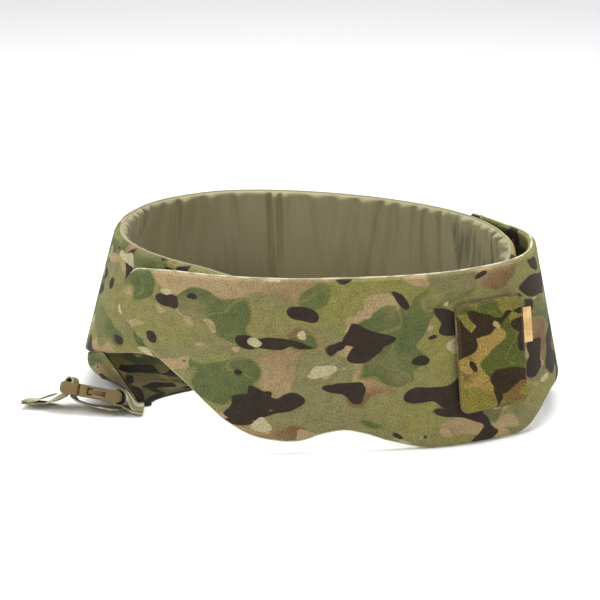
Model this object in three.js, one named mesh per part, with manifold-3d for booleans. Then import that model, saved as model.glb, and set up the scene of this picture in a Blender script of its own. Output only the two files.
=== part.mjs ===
// Padded waist wrap: a flared, padded U-shaped body, a front panel that closes it with
// hook-and-loop, a tail tucked under it, and a strap with a side-release buckle.
// Millimetres, +Z up. The origin is the middle of the footprint, on the floor.
import * as THREE from "three";
import { mergeVertices } from "three/addons/utils/BufferGeometryUtils.js";
import Module from "manifold-3d";

const wasm = await Module();
wasm.setup();

// ---------- driving dimensions ----------
const RING_WIDTH = 393; // across the body's rim, left to right
const RING_DEPTH = 323; // across the body's rim, front to back
const RIM_HEIGHT = 165; // top of the wall above the floor
const GAP = 0.3; // between pieces that touch
const EDGE_GAP = 0.4; // between a piece's edge and the tape along it
const FOAM_GAP = 0.9; // between foam and the fabric round it
const FACET_WIDTH = 14; // about the width of one flat facet of the curved wall

const COVER = 1.3; // camouflage shell fabric, each face
const BODY_PADDING = 6.4; // foam in the body
const PANEL_PADDING = 3.6; // foam in the front panel
const LINING = 1.3; // olive lining of the body
const BINDING = 2; // tape on the edges
const TOUCH_TAPE = 1; // one half of the hook-and-loop
const TAPE_LOW = 45; // heights of the hook-and-loop at the panel's fixed end
const TAPE_HIGH = 150;
const CLOSURE_LOW = 96; // lower edge of the one under the panel's left tip
const CLOSURE_INSET = 24; // from that one to the end of the tip
const CLOSURE_LENGTH = 86;
const TAPE_INSET = 8; // from the hook-and-loop to the edge of the cloth that it is sewn to

const BODY_LEFT_END = -515; // stations along the rim from the centre back, clockwise
const BODY_RIGHT_END = 405;
const BODY_HEM = 36; // height of the body's lower edge at the back
const WING_HEM = 76; // height of the same edge near the wing ends
const PADDING_INSET = 6; // foam stops short of the edges
const LEFT_LINING_SEAM = -171;
const RIGHT_LINING_SEAM = 195;

const PANEL_START = 214; // where the front panel is fixed to the body
const PANEL_FLEX = 262; // the line that the panel folds about when it is opened
const CLOSURE_OVERLAP = 152.5; // how far its left end laps over the body's left end
const PANEL_HEM_BACK = 29; // height of the panel's lower edge on the right side
const LOBE_RIGHT = 0.6; // lowest point of the right lobe
const ARCH = 21; // middle of the arch between the lobes
const LOBE_LEFT = 12; // lowest point of the left lobe
const TIP_HEIGHT = 123; // middle of the rounded left tip

const PATCH_WIDTH = 78;
const PATCH_HEIGHT = 105;
const PATCH_CORNER = 9;
const PATCH_STATION = 425;
const PATCH_BOTTOM = 31;
const PATCH_BACKING = 2;
const PATCH_PILE = 1.4;
const PATCH_MARGIN = 3.5;
const LABEL_WIDTH = 10;
const LABEL_HEIGHT = 34;
const LABEL_THICKNESS = 0.8;
const LABEL_DROP = 14; // from the patch's top to the label's
const PATCH_STAND = 1.6; // the flat patch stands off the curved panel at its middle

const TAIL_END = 335; // stations of the tail's two front edges, left and right of the back
const TAIL_THICKNESS = 2.4;
const TAIL_HEM_WIDTH = 12;
const TAIL_DEPTH_SIDE = 56; // how far the tail reaches in from the wall at its front corners
const TAIL_DEPTH_BACK = 125; // and behind them
const TAIL_CORNER_RISE = 80; // length over which the depth grows from one to the other
const TAIL_HANG = 5; // from the body's outer face in to the tail's upper edge
const TAIL_TUCK = 2; // and to the lowest part of its turn
const CASING_RISE = 0.8; // the hem's casing stands this much over the tail's cloth

const WEBBING = 25; // strap width
const WEBBING_THICKNESS = 1.5;
const SLOT_PLAY = 1; // from the webbing's edge to the end of its slot
const BUCKLE_SIDE = 3; // wall beside each webbing slot
const BUCKLE_WIDTH = WEBBING + 2 * (SLOT_PLAY + BUCKLE_SIDE);
const BUCKLE_THICKNESS = 12;
const SOCKET_LENGTH = 43;
const PLUG_LENGTH = 19; // the part of the plug that stays outside the socket
const BUCKLE_WALL = 2.6;
const ARM_LENGTH = 30;
const CATCH = 1; // how far each arm's catch stands behind the socket's wall
const CATCH_PLAY = 0.8; // free travel before a catch would meet the wall

// ---------- colours ----------
const CAMO = 0x8a8460;
const FOAM = 0xd8d4c4;
const OLIVE = 0x736e50;
const TAPE = 0x7c7752;
const COYOTE = 0x9a7f52;
const PALE_WEBBING = 0xb3a98a;
const GOLD = 0xd8b566;

// ---------- the oval that the wrap stands in ----------
// Each entry: x and y as shares of the ring's width and depth from its centre, then how far the
// wall flares outward between the rim and the floor, in millimetres. The first one is the centre
// back, and they run clockwise as seen from above.
const OVAL = [
  [-0.089, 0.557, 37],
  [0.191, 0.44, 41],
  [0.382, 0.245, 38],
  [0.468, 0, 34],
  [0.455, -0.217, 30],
  [0.3, -0.372, 22],
  [0.025, -0.443, 14],
  [-0.234, -0.424, 28],
  [-0.453, -0.192, 46],
  [-0.527, 0.046, 43],
  [-0.478, 0.365, 46],
  [-0.305, 0.539, 40],
];

const rimPoints = OVAL.map(([x, y]) => new THREE.Vector2(x * RING_WIDTH, y * RING_DEPTH));

// The outward direction at one of the oval's points, square to the line between its neighbours.
function outwardAt(i) {
  const n = rimPoints.length;
  const along = rimPoints[(i + 1) % n].clone().sub(rimPoints[(i + n - 1) % n]).normalize();
  return new THREE.Vector2(-along.y, along.x);
}

function ovalCurve(flareShare) {
  const points = OVAL.map(([, , flare], i) => {
    const p = rimPoints[i].clone().addScaledVector(outwardAt(i), flare * flareShare);
    return new THREE.Vector3(p.x, p.y, 0);
  });
  const curve = new THREE.CatmullRomCurve3(points, true, "centripetal");
  curve.arcLengthDivisions = 1200;
  return curve;
}

const rimCurve = ovalCurve(0);
const footCurve = ovalCurve(1);
const RIM_LENGTH = rimCurve.getLength();
// A whole number of facets goes round the rim, so that layers that overlap bend at one place.
const FACET = RIM_LENGTH / Math.round(RIM_LENGTH / FACET_WIDTH);

// The panel's left end, and the station at a share of the panel's length from its fixed end.
const PANEL_END = RIM_LENGTH + BODY_LEFT_END + CLOSURE_OVERLAP;
const panelStation = (share) => THREE.MathUtils.lerp(PANEL_START, PANEL_END, share);

// How far the front panel's inner face stands off the body's outer face, by station.
const CLOSURE_GAP = 2 * TOUCH_TAPE + 3 * GAP;
const STAND_OFF = [
  [PANEL_START, CLOSURE_GAP],
  [PANEL_FLEX - 8, CLOSURE_GAP + 3.5],
  [panelStation(0.159), 16],
  [panelStation(0.22), 12],
  [panelStation(0.285), 7.5],
  [panelStation(0.378), 5],
  [panelStation(0.652), 5.5],
  [panelStation(0.745), CLOSURE_GAP],
];

function planPoint(t, z) {
  const wrapped = ((t % 1) + 1) % 1;
  return footCurve.getPoint(wrapped).lerp(rimCurve.getPoint(wrapped), z / RIM_HEIGHT);
}

// The point of the smooth wall at a station, at a height, and at a distance outside the body.
function smoothWallPoint(station, z, out) {
  const share = ((station / RIM_LENGTH) % 1 + 1) % 1;
  const t = rimCurve.getUtoTmapping(share);
  const p = planPoint(t, z);
  const along = planPoint(t + 0.002, z).sub(planPoint(t - 0.002, z)).normalize();
  return new THREE.Vector3(p.x - along.y * out, p.y + along.x * out, z);
}

// The same on the faceted wall, so that every layer bends at the same stations.
function wallPoint(station, z, out) {
  const k = Math.floor(station / FACET);
  const share = station / FACET - k;
  const before = smoothWallPoint(k * FACET, z, out);
  return before.lerp(smoothWallPoint((k + 1) * FACET, z, out), share);
}

// A smooth value between the entries of a list of [station, value].
function smoothProfile(list, station) {
  if (station <= list[0][0]) return list[0][1];
  for (let i = 1; i < list.length; i += 1) {
    const [s0, v0] = list[i - 1];
    const [s1, v1] = list[i];
    if (station <= s1) {
      return THREE.MathUtils.lerp(v0, v1, THREE.MathUtils.smoothstep(station, s0, s1));
    }
  }
  return list[list.length - 1][1];
}

// The same value, straight between the facets' stations.
function profile(list, station) {
  const k = Math.floor(station / FACET);
  const before = smoothProfile(list, k * FACET);
  return THREE.MathUtils.lerp(before, smoothProfile(list, (k + 1) * FACET), station / FACET - k);
}

const standOff = (station) => profile(STAND_OFF, station);

// ---------- building closed bodies ----------
// Joins equal rings of points, each ring running the same way round, into one closed body.
function sweep(rings) {
  const count = rings[0].length;
  const points = rings.flat();
  const faces = [];
  for (let r = 0; r + 1 < rings.length; r += 1) {
    for (let k = 0; k < count; k += 1) {
      const a = r * count + k;
      const b = r * count + ((k + 1) % count);
      faces.push(a, b, b + count, a, b + count, a + count);
    }
  }
  const last = (rings.length - 1) * count;
  for (let k = 1; k + 1 < count; k += 1) {
    faces.push(0, k + 1, k, last, last + k, last + k + 1);
  }
  const geometry = new THREE.BufferGeometry().setFromPoints(points);
  geometry.setIndex(faces);
  return facingOut(geometry);
}

function signedVolume(geometry) {
  const p = geometry.getAttribute("position");
  const index = geometry.getIndex().array;
  const [a, b, c] = [new THREE.Vector3(), new THREE.Vector3(), new THREE.Vector3()];
  let six = 0;
  for (let i = 0; i < index.length; i += 3) {
    a.fromBufferAttribute(p, index[i]);
    b.fromBufferAttribute(p, index[i + 1]);
    c.fromBufferAttribute(p, index[i + 2]);
    six += a.dot(b.cross(c));
  }
  return six / 6;
}

function facingOut(geometry) {
  if (signedVolume(geometry) < 0) geometry.getIndex().array.reverse();
  return geometry;
}

// The stations from one to another that a piece bends at: its two ends and the facets' lines.
function stationsBetween(from, to) {
  const list = [from];
  for (let k = Math.floor(from / FACET) + 1; k * FACET < to; k += 1) list.push(k * FACET);
  return [...list, to];
}

// A piece of the wall between two stations: bottom and top are heights, inner and outer are
// distances outside the body's outer face, and each may be a function of the station.
function slab({ from, to, bottom, top, inner, outer }) {
  const value = (v, s) => (typeof v === "function" ? v(s) : v);
  return sweep(
    stationsBetween(from, to).map((s) => [
      wallPoint(s, value(bottom, s), value(inner, s)),
      wallPoint(s, value(bottom, s), value(outer, s)),
      wallPoint(s, value(top, s), value(outer, s)),
      wallPoint(s, value(top, s), value(inner, s)),
    ]),
  );
}

function toSolid(geometry) {
  const g = geometry.clone();
  g.deleteAttribute("normal");
  g.deleteAttribute("uv");
  const merged = mergeVertices(g, 1e-4);
  return new wasm.Manifold(
    new wasm.Mesh({
      numProp: 3,
      vertProperties: new Float32Array(merged.getAttribute("position").array),
      triVerts: new Uint32Array(merged.getIndex().array),
    }),
  );
}

function toGeometry(solid) {
  const mesh = solid.getMesh();
  const geometry = new THREE.BufferGeometry();
  geometry.setAttribute("position", new THREE.BufferAttribute(new Float32Array(mesh.vertProperties), 3));
  geometry.setIndex(new THREE.BufferAttribute(new Uint32Array(mesh.triVerts), 1));
  return geometry;
}

// A box between two corners.
function box(low, high) {
  const size = high.map((v, i) => v - low[i]);
  const geometry = new THREE.BoxGeometry(...size);
  geometry.translate(...low.map((v, i) => v + size[i] / 2));
  return toSolid(geometry);
}

function roundedRectangle(width, height, radius) {
  const shape = new THREE.Shape();
  const x = width / 2;
  const y = height / 2;
  shape.moveTo(-x + radius, -y);
  shape.lineTo(x - radius, -y);
  shape.absarc(x - radius, -y + radius, radius, -Math.PI / 2, 0);
  shape.lineTo(x, y - radius);
  shape.absarc(x - radius, y - radius, radius, 0, Math.PI / 2);
  shape.lineTo(-x + radius, y);
  shape.absarc(-x + radius, y - radius, radius, Math.PI / 2, Math.PI);
  shape.lineTo(-x, -y + radius);
  shape.absarc(-x + radius, -y + radius, radius, Math.PI, 1.5 * Math.PI);
  return shape;
}

// A plate in the XY plane, rising from z = 0.
function plate(shape, thickness) {
  return new THREE.ExtrudeGeometry(shape, { depth: thickness, bevelEnabled: false, curveSegments: 4 });
}

const wrap = new THREE.Group();

function add(name, geometry, color, roughness = 0.9, parent = wrap) {
  const material = new THREE.MeshStandardMaterial({ color, roughness, metalness: 0 });
  const mesh = new THREE.Mesh(geometry, material);
  mesh.name = name;
  parent.add(mesh);
  return mesh;
}

// ---------- body ----------
const paddingOuter = -COVER - FOAM_GAP;
const paddingInner = paddingOuter - BODY_PADDING;
const liningOuter = paddingInner - FOAM_GAP;
const liningInner = liningOuter - LINING;

function bodyHem(station) {
  return profile(
    [
      [255, BODY_HEM],
      [TAIL_END, BODY_HEM + 0.62 * (WING_HEM - BODY_HEM)],
      [400, WING_HEM],
    ],
    Math.abs(station),
  );
}

function addBody() {
  const whole = { from: BODY_LEFT_END, to: BODY_RIGHT_END, bottom: bodyHem, top: RIM_HEIGHT };
  add("body_cover", slab({ ...whole, inner: -COVER, outer: 0 }), CAMO);
  add(
    "body_padding",
    slab({
      from: BODY_LEFT_END + PADDING_INSET,
      to: BODY_RIGHT_END - PADDING_INSET,
      bottom: (s) => bodyHem(s) + PADDING_INSET,
      top: RIM_HEIGHT - PADDING_INSET,
      inner: paddingInner,
      outer: paddingOuter,
    }),
    FOAM,
  );
  const linings = {
    lining_left_gathered: [BODY_LEFT_END, LEFT_LINING_SEAM - GAP],
    lining_back: [LEFT_LINING_SEAM, RIGHT_LINING_SEAM],
    lining_right_gathered: [RIGHT_LINING_SEAM + GAP, BODY_RIGHT_END],
  };
  Object.entries(linings).forEach(([name, [from, to]]) => {
    const piece = { from, to, bottom: bodyHem, top: RIM_HEIGHT, inner: liningInner, outer: liningOuter };
    add(name, slab(piece), OLIVE);
  });
  const tape = { from: BODY_LEFT_END, to: BODY_RIGHT_END, inner: liningInner, outer: 0 };
  const rimTape = { ...tape, bottom: RIM_HEIGHT + GAP, top: RIM_HEIGHT + GAP + BINDING };
  add("body_rim_binding", slab(rimTape), TAPE);
  const hemTape = { ...tape, bottom: (s) => bodyHem(s) - GAP - BINDING, top: (s) => bodyHem(s) - GAP };
  add("body_hem_binding", slab(hemTape), TAPE);
  const loop = { inner: GAP, outer: GAP + TOUCH_TAPE, top: TAPE_HIGH };
  const left = { from: BODY_LEFT_END + TAPE_INSET, to: PANEL_END - CLOSURE_INSET - RIM_LENGTH, bottom: CLOSURE_LOW };
  add("left_loop_field", slab({ ...loop, ...left }), OLIVE);
  const right = { from: PANEL_START + 2, to: PANEL_FLEX - TAPE_INSET - 2, bottom: TAPE_LOW };
  add("right_loop_field", slab({ ...loop, ...right }), OLIVE);
}

// ---------- front panel ----------
const panelThickness = 2 * COVER + 2 * FOAM_GAP + PANEL_PADDING;

// The panel's lower edge: its right lobe, the arch, its left lobe, and the rise to the tip.
const PANEL_HEM = [
  [0.2133, PANEL_HEM_BACK],
  [0.2623, PANEL_HEM_BACK - 1],
  [0.2867, 18.5],
  [0.3112, 7],
  [0.3357, LOBE_RIGHT + 0.8],
  [0.4563, LOBE_RIGHT],
  [0.5298, 9.5],
  [0.6032, ARCH],
  [0.6801, LOBE_LEFT],
  [0.7134, LOBE_LEFT + 2],
  [0.7413, LOBE_LEFT + 7],
  [0.7658, 27],
  [0.7973, 41],
  [0.8182, 51],
  [0.848, 65],
  [0.8917, 80],
  [0.9721, 104],
  [1, TIP_HEIGHT - 7],
].map(([share, height]) => [panelStation(share), height]);

// And its upper edge, which falls towards the tip.
const PANEL_TOP = [
  [0.7623, RIM_HEIGHT],
  [0.9616, RIM_HEIGHT - 10],
  [0.9808, RIM_HEIGHT - 16],
  [1, TIP_HEIGHT + 8],
].map(([share, height]) => [panelStation(share), height]);

const panelHem = (station) => profile(PANEL_HEM, station);
const panelTop = (station) => profile(PANEL_TOP, station);

const panelLayer = (inner, outer) => ({
  inner: (s) => standOff(s) + inner,
  outer: (s) => standOff(s) + outer,
});

const fabricHem = (s) => panelHem(s) + BINDING + EDGE_GAP;
const fabricTop = (s) => panelTop(s) - BINDING - EDGE_GAP;
const fabricEnd = PANEL_END - BINDING - EDGE_GAP;

// Tape round the panel's edge: a square bead that follows the fabric's outline at a small gap.
function panelBinding() {
  const stations = stationsBetween(PANEL_FLEX + GAP, fabricEnd);
  const lower = stations.map((s) => [s, fabricHem(s)]);
  const upper = stations.map((s) => [s, fabricTop(s)]).reverse();
  const edge = [...lower, ...upper];
  const rings = edge.map(([s, z], i) => {
    const [s0, z0] = edge[Math.max(i - 1, 0)];
    const [s1, z1] = edge[Math.min(i + 1, edge.length - 1)];
    const away = new THREE.Vector2(z1 - z0, s0 - s1).normalize();
    const corner = (distance, out) =>
      wallPoint(s + away.x * distance, z + away.y * distance, standOff(s) + out);
    const near = EDGE_GAP;
    const far = near + BINDING;
    return [corner(near, 0), corner(far, 0), corner(far, panelThickness), corner(near, panelThickness)];
  });
  return sweep(rings);
}

function addPanel() {
  const span = { from: PANEL_FLEX + GAP, to: fabricEnd, bottom: fabricHem, top: fabricTop };
  const middle = [COVER + FOAM_GAP, COVER + FOAM_GAP + PANEL_PADDING];
  add("panel_inner_face", slab({ ...span, ...panelLayer(0, COVER) }), CAMO);
  add(
    "panel_padding",
    slab({
      ...span,
      ...panelLayer(...middle),
      from: span.from + PADDING_INSET,
      to: span.to - PADDING_INSET,
      bottom: (s) => fabricHem(s) + PADDING_INSET,
      top: (s) => fabricTop(s) - PADDING_INSET,
    }),
    FOAM,
  );
  add("panel_cover", slab({ ...span, ...panelLayer(panelThickness - COVER, panelThickness) }), CAMO);
  const hookEnd = PANEL_END - CLOSURE_INSET;
  const hookBottom = (s) => Math.max(CLOSURE_LOW + 2, fabricHem(s) + TAPE_INSET / 2);
  const hook = { from: hookEnd - CLOSURE_LENGTH, to: hookEnd, bottom: hookBottom, top: TAPE_HIGH - 4 };
  add("left_hook_field", slab({ ...hook, ...panelLayer(-GAP - TOUCH_TAPE, -GAP) }), COYOTE);
}

// The end of the panel that stays fixed to the body behind the fold line.
function addPanelTab() {
  const span = { from: PANEL_START, to: PANEL_FLEX - GAP, bottom: panelHem, top: RIM_HEIGHT };
  add("panel_fixed_end", slab({ ...span, ...panelLayer(0, panelThickness) }), CAMO);
  const hook = { from: PANEL_START + 2, to: PANEL_FLEX - TAPE_INSET - 2, bottom: TAPE_LOW, top: TAPE_HIGH };
  const hookLayer = { inner: GAP * 2 + TOUCH_TAPE, outer: GAP * 2 + TOUCH_TAPE * 2 };
  add("right_hook_field", slab({ ...hook, ...hookLayer }), COYOTE);
}

// ---------- patch and label ----------
// A frame on the panel's face: x along the wall to the left, y up the wall, z outward.
function panelFrame(station, z) {
  const out = standOff(station) + panelThickness;
  const origin = wallPoint(station, z, out);
  const along = wallPoint(station - 30, z, standOff(station - 30) + panelThickness)
    .sub(wallPoint(station + 30, z, standOff(station + 30) + panelThickness))
    .normalize();
  const up = wallPoint(station, z + 20, out).sub(wallPoint(station, z - 20, out));
  const outward = along.clone().cross(up).normalize();
  const square = outward.clone().cross(along);
  const frame = new THREE.Group();
  frame.matrixAutoUpdate = false;
  frame.matrix.makeBasis(along, square, outward).setPosition(origin);
  return frame;
}

function addPatch() {
  const frame = panelFrame(PATCH_STATION, PATCH_BOTTOM + PATCH_HEIGHT / 2);
  wrap.add(frame);
  const outline = roundedRectangle(PATCH_WIDTH, PATCH_HEIGHT, PATCH_CORNER);
  const backing = plate(outline, PATCH_BACKING).translate(0, 0, PATCH_STAND);
  add("patch_backing", backing, TAPE, 0.95, frame);
  const pileOutline = roundedRectangle(
    PATCH_WIDTH - 2 * PATCH_MARGIN,
    PATCH_HEIGHT - 2 * PATCH_MARGIN,
    PATCH_CORNER - PATCH_MARGIN,
  );
  const pile = plate(pileOutline, PATCH_PILE).translate(0, 0, PATCH_STAND + PATCH_BACKING + GAP);
  add("patch_loop_pile", pile, CAMO, 1, frame);
  const label = new THREE.BoxGeometry(LABEL_WIDTH, LABEL_HEIGHT, LABEL_THICKNESS);
  label.translate(
    PATCH_WIDTH / 2 + LABEL_WIDTH / 2 + GAP,
    PATCH_HEIGHT / 2 - LABEL_HEIGHT / 2 - LABEL_DROP,
    PATCH_STAND + LABEL_THICKNESS / 2,
  );
  add("side_label", label, GOLD, 0.6, frame);
}

// ---------- tail ----------
// How full the tail's curve is: a straight slope at its front edges, a round turn elsewhere.
const tailFullness = (s) => THREE.MathUtils.smoothstep(TAIL_END - Math.abs(s), 0, 60);

function tailDepth(station) {
  const rise = THREE.MathUtils.smoothstep(TAIL_END - Math.abs(station), 0, TAIL_CORNER_RISE);
  return THREE.MathUtils.lerp(TAIL_DEPTH_SIDE, TAIL_DEPTH_BACK, rise);
}

// A point on the floor, a distance in from the wall's foot towards the middle of the ring.
function footPoint(station, inward, z) {
  const foot = wallPoint(station, 0, 0);
  return foot.setLength(foot.length() - inward).setZ(z);
}

// A point of the tail's inner face: v = 0 at the body's hem, v = 1 at the free edge on the floor.
function tailPoint(station, v) {
  const hem = wallPoint(station, bodyHem(station) - 2 * GAP - BINDING, -TAIL_HANG);
  const edge = footPoint(station, tailDepth(station), TAIL_THICKNESS);
  const below = wallPoint(station, 0, -TAIL_TUCK).setZ(TAIL_THICKNESS);
  const middle = hem.clone().lerp(edge, 0.5).lerp(below, tailFullness(station));
  const p = hem.multiplyScalar((1 - v) ** 2);
  return p.addScaledVector(middle, 2 * v * (1 - v)).addScaledVector(edge, v * v);
}

function addTail() {
  const shares = [0, 0.25, 0.5, 0.75, 1];
  const stations = stationsBetween(-TAIL_END, TAIL_END);
  const section = (s) => {
    const upper = shares.map((v) => tailPoint(s, v));
    const lower = upper.map((p) => p.clone().setZ(p.z - TAIL_THICKNESS)).reverse();
    return [...upper, ...lower];
  };
  add("tail_panel", sweep(stations.map(section)), CAMO);
  const casing = (s) => {
    const near = tailDepth(s) + 2 * GAP;
    const far = near + TAIL_HEM_WIDTH;
    const top = TAIL_THICKNESS + CASING_RISE;
    return [footPoint(s, near, 0), footPoint(s, far, 0), footPoint(s, far, top), footPoint(s, near, top)];
  };
  add("tail_hem_casing", sweep(stations.map(casing)), TAPE);
}

// ---------- buckle ----------
// The buckle's own frame: x runs from the socket's webbing bar towards the plug, y across,
// z through its thickness.
const halfWidth = BUCKLE_WIDTH / 2;
const halfThick = BUCKLE_THICKNESS / 2;
const BUCKLE_CORNER = 3.5; // roundness from above
const BUCKLE_END = 4.8; // and of its two ends from the side
const SLOT = 4.2; // length of each webbing slot
const SLOT_EDGE = 4; // from the socket's end to its slot
const SOCKET_BAR = SLOT_EDGE + SLOT / 2; // middle of the socket's slot
const PLUG_START = SOCKET_LENGTH + 0.5;
const PLUG_SLOT_A = PLUG_START + 6.5; // middles of the plug's two slots
const PLUG_SLOT_B = PLUG_START + 14.3;
const CAVITY_START = 13;
const WINDOW = [16, 34.5];
const ARM_ROOT = SOCKET_LENGTH + 2.6;
const armOuter = halfWidth - BUCKLE_WALL - 0.7;
const ARM_THICKNESS = 3;

// A block with rounded corners from above, and from the side with its outer end rounded. The
// other end is cut square, at the mouth.
function buckleBlock(outer, mouth) {
  const middle = (outer + mouth) / 2;
  const length = Math.abs(mouth - outer);
  const above = plate(roundedRectangle(length, BUCKLE_WIDTH, BUCKLE_CORNER), BUCKLE_THICKNESS);
  above.translate(middle, 0, -halfThick);
  const side = plate(roundedRectangle(2 * length, BUCKLE_THICKNESS, BUCKLE_END), BUCKLE_WIDTH + 2);
  side.rotateX(Math.PI / 2).translate(mouth, halfWidth + 1, 0);
  return toSolid(above).intersect(toSolid(side));
}

function webbingSlot(middle) {
  const half = WEBBING / 2 + SLOT_PLAY;
  return box([middle - SLOT / 2, -half, -halfThick - 1], [middle + SLOT / 2, half, halfThick + 1]);
}

function socketSolid() {
  const inside = halfWidth - BUCKLE_WALL;
  const clear = halfThick - BUCKLE_WALL;
  return buckleBlock(0, SOCKET_LENGTH)
    .subtract(box([CAVITY_START, -inside, -clear], [SOCKET_LENGTH + 1, inside, clear]))
    .subtract(box([WINDOW[0], -halfWidth - 1, -clear], [WINDOW[1], halfWidth + 1, clear]))
    .subtract(webbingSlot(SOCKET_BAR));
}

function plugSolid() {
  const from = PLUG_START;
  const to = from + PLUG_LENGTH;
  const armRoom = (side) => {
    const y0 = side * (armOuter - ARM_THICKNESS - 1.4);
    const y1 = side * (halfWidth - 1.6);
    return box([from - 1, Math.min(y0, y1), -3.2], [ARM_ROOT + 2.6, Math.max(y0, y1), 3.2]);
  };
  return buckleBlock(to, from)
    .add(box([SOCKET_LENGTH - 12, -2.2, -2.4], [from + 2, 2.2, 2.4]))
    .subtract(webbingSlot(PLUG_SLOT_A))
    .subtract(webbingSlot(PLUG_SLOT_B))
    .subtract(armRoom(1))
    .subtract(armRoom(-1));
}

// One latch arm: a lever with a catch that stands behind the window's edge, for side +1 or -1.
function armGeometry(side) {
  const inside = halfWidth - BUCKLE_WALL;
  const catchX = WINDOW[1] - CATCH_PLAY;
  const tip = ARM_ROOT - ARM_LENGTH;
  const shape = new THREE.Shape();
  shape.moveTo(ARM_ROOT + 1.6, armOuter - ARM_THICKNESS);
  shape.lineTo(ARM_ROOT + 1.6, armOuter);
  shape.lineTo(catchX, armOuter);
  shape.lineTo(catchX, inside + CATCH);
  shape.lineTo(catchX - 5, inside + CATCH + 0.9);
  shape.lineTo(catchX - 12, inside - 0.4);
  shape.lineTo(tip, armOuter - 1.6);
  shape.lineTo(tip, armOuter - ARM_THICKNESS - 0.4);
  const geometry = plate(shape, 5);
  geometry.translate(0, 0, -2.5);
  if (side < 0) geometry.rotateX(Math.PI);
  return geometry;
}

// The strap lies beside the tail's front left corner, at a set angle to the tail's front edge.
// Its places are given along the strap and across it, from clear of the corner.
const tailCorner = footPoint(-TAIL_END, TAIL_DEPTH_SIDE, 0);
const tailEdge = wallPoint(-TAIL_END, bodyHem(-TAIL_END), -TAIL_HANG).sub(tailCorner);
const STRAP_TURN = -13.945; // degrees from that edge to the strap
const strapYaw = THREE.MathUtils.radToDeg(Math.atan2(tailEdge.y, tailEdge.x)) + STRAP_TURN;
const strapTurn = new THREE.Matrix4().makeRotationZ(THREE.MathUtils.degToRad(strapYaw));
const CORNER_CLEARANCE = 1.4; // between the strap and the tail, beside the corner
const clearOfCorner = WEBBING / 2 + BUCKLE_THICKNESS + CORNER_CLEARANCE;
const besideCorner = (along, across, z) =>
  new THREE.Vector3(along, clearOfCorner - across, z).applyMatrix4(strapTurn).add(tailCorner);

// Where the buckle lies: the socket's bar end, then its pitch and roll in degrees.
const BUCKLE_PITCH = 8;
const BUCKLE_ROLL = 22;
const BUCKLE_LIFT = 1.4; // from the floor to its far lower edge
const farEdgeDrop = halfWidth * Math.sin(THREE.MathUtils.degToRad(BUCKLE_ROLL));
const buckleOrigin = besideCorner(15.84, 11.47, BUCKLE_LIFT + halfThick + farEdgeDrop);

const buckle = new THREE.Group();
buckle.position.copy(buckleOrigin);
buckle.rotation.order = "ZYX";
buckle.rotation.set(
  THREE.MathUtils.degToRad(BUCKLE_ROLL),
  THREE.MathUtils.degToRad(-BUCKLE_PITCH),
  THREE.MathUtils.degToRad(strapYaw),
);
buckle.updateMatrix();

function addBuckle() {
  wrap.add(buckle);
  add("buckle_socket", toGeometry(socketSolid()), COYOTE, 0.55, buckle);
  add("buckle_plug", toGeometry(plugSolid()), COYOTE, 0.55, buckle);
  add("latch_arm_far", armGeometry(-1), COYOTE, 0.55, buckle);
  add("latch_arm_near", armGeometry(1), COYOTE, 0.55, buckle);
}

// ---------- webbing ----------
// A flat strap along a smooth route. Each point is x, y, z in millimetres and the tilt of the
// strap's width in degrees, with its far edge down.
function ribbon(route, acrossYaw) {
  const curve = new THREE.CatmullRomCurve3(
    route.map(([x, y, z]) => new THREE.Vector3(x, y, z)),
    false,
    "centripetal",
  );
  const count = (route.length - 1) * 3;
  const level = new THREE.Vector3(-Math.sin(acrossYaw), Math.cos(acrossYaw), 0);
  const rings = [];
  for (let i = 0; i <= count; i += 1) {
    const t = i / count;
    const p = curve.getPoint(t);
    const forward = curve.getTangent(t);
    const k = Math.min(Math.floor(t * (route.length - 1)), route.length - 2);
    const tilt = THREE.MathUtils.degToRad(
      THREE.MathUtils.lerp(route[k][3], route[k + 1][3], t * (route.length - 1) - k),
    );
    const across = level.clone().multiplyScalar(Math.cos(tilt)).add(new THREE.Vector3(0, 0, -Math.sin(tilt)));
    across.addScaledVector(forward, -across.dot(forward)).normalize();
    const face = forward.clone().cross(across);
    const corner = (a, b) =>
      p.clone().addScaledVector(across, (a * WEBBING) / 2).addScaledVector(face, (b * WEBBING_THICKNESS) / 2);
    rings.push([corner(-1, -1), corner(1, -1), corner(1, 1), corner(-1, 1)]);
  }
  return sweep(rings);
}

// A place in the buckle's frame, as part coordinates with the buckle's tilt.
function atBuckle(x, z) {
  const p = new THREE.Vector3(x, 0, z).applyMatrix4(buckle.matrix);
  return [p.x, p.y, p.z, BUCKLE_ROLL];
}

// A place beside the tail's corner, with the strap's own tilt. lift is the height of its lower
// edge over the floor.
function fromCorner(along, across, lift, tilt) {
  const lean = THREE.MathUtils.degToRad(tilt);
  const half = (WEBBING * Math.sin(lean) + WEBBING_THICKNESS * Math.cos(lean)) / 2;
  return [...besideCorner(along, across, lift + half).toArray(), tilt];
}

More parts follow.
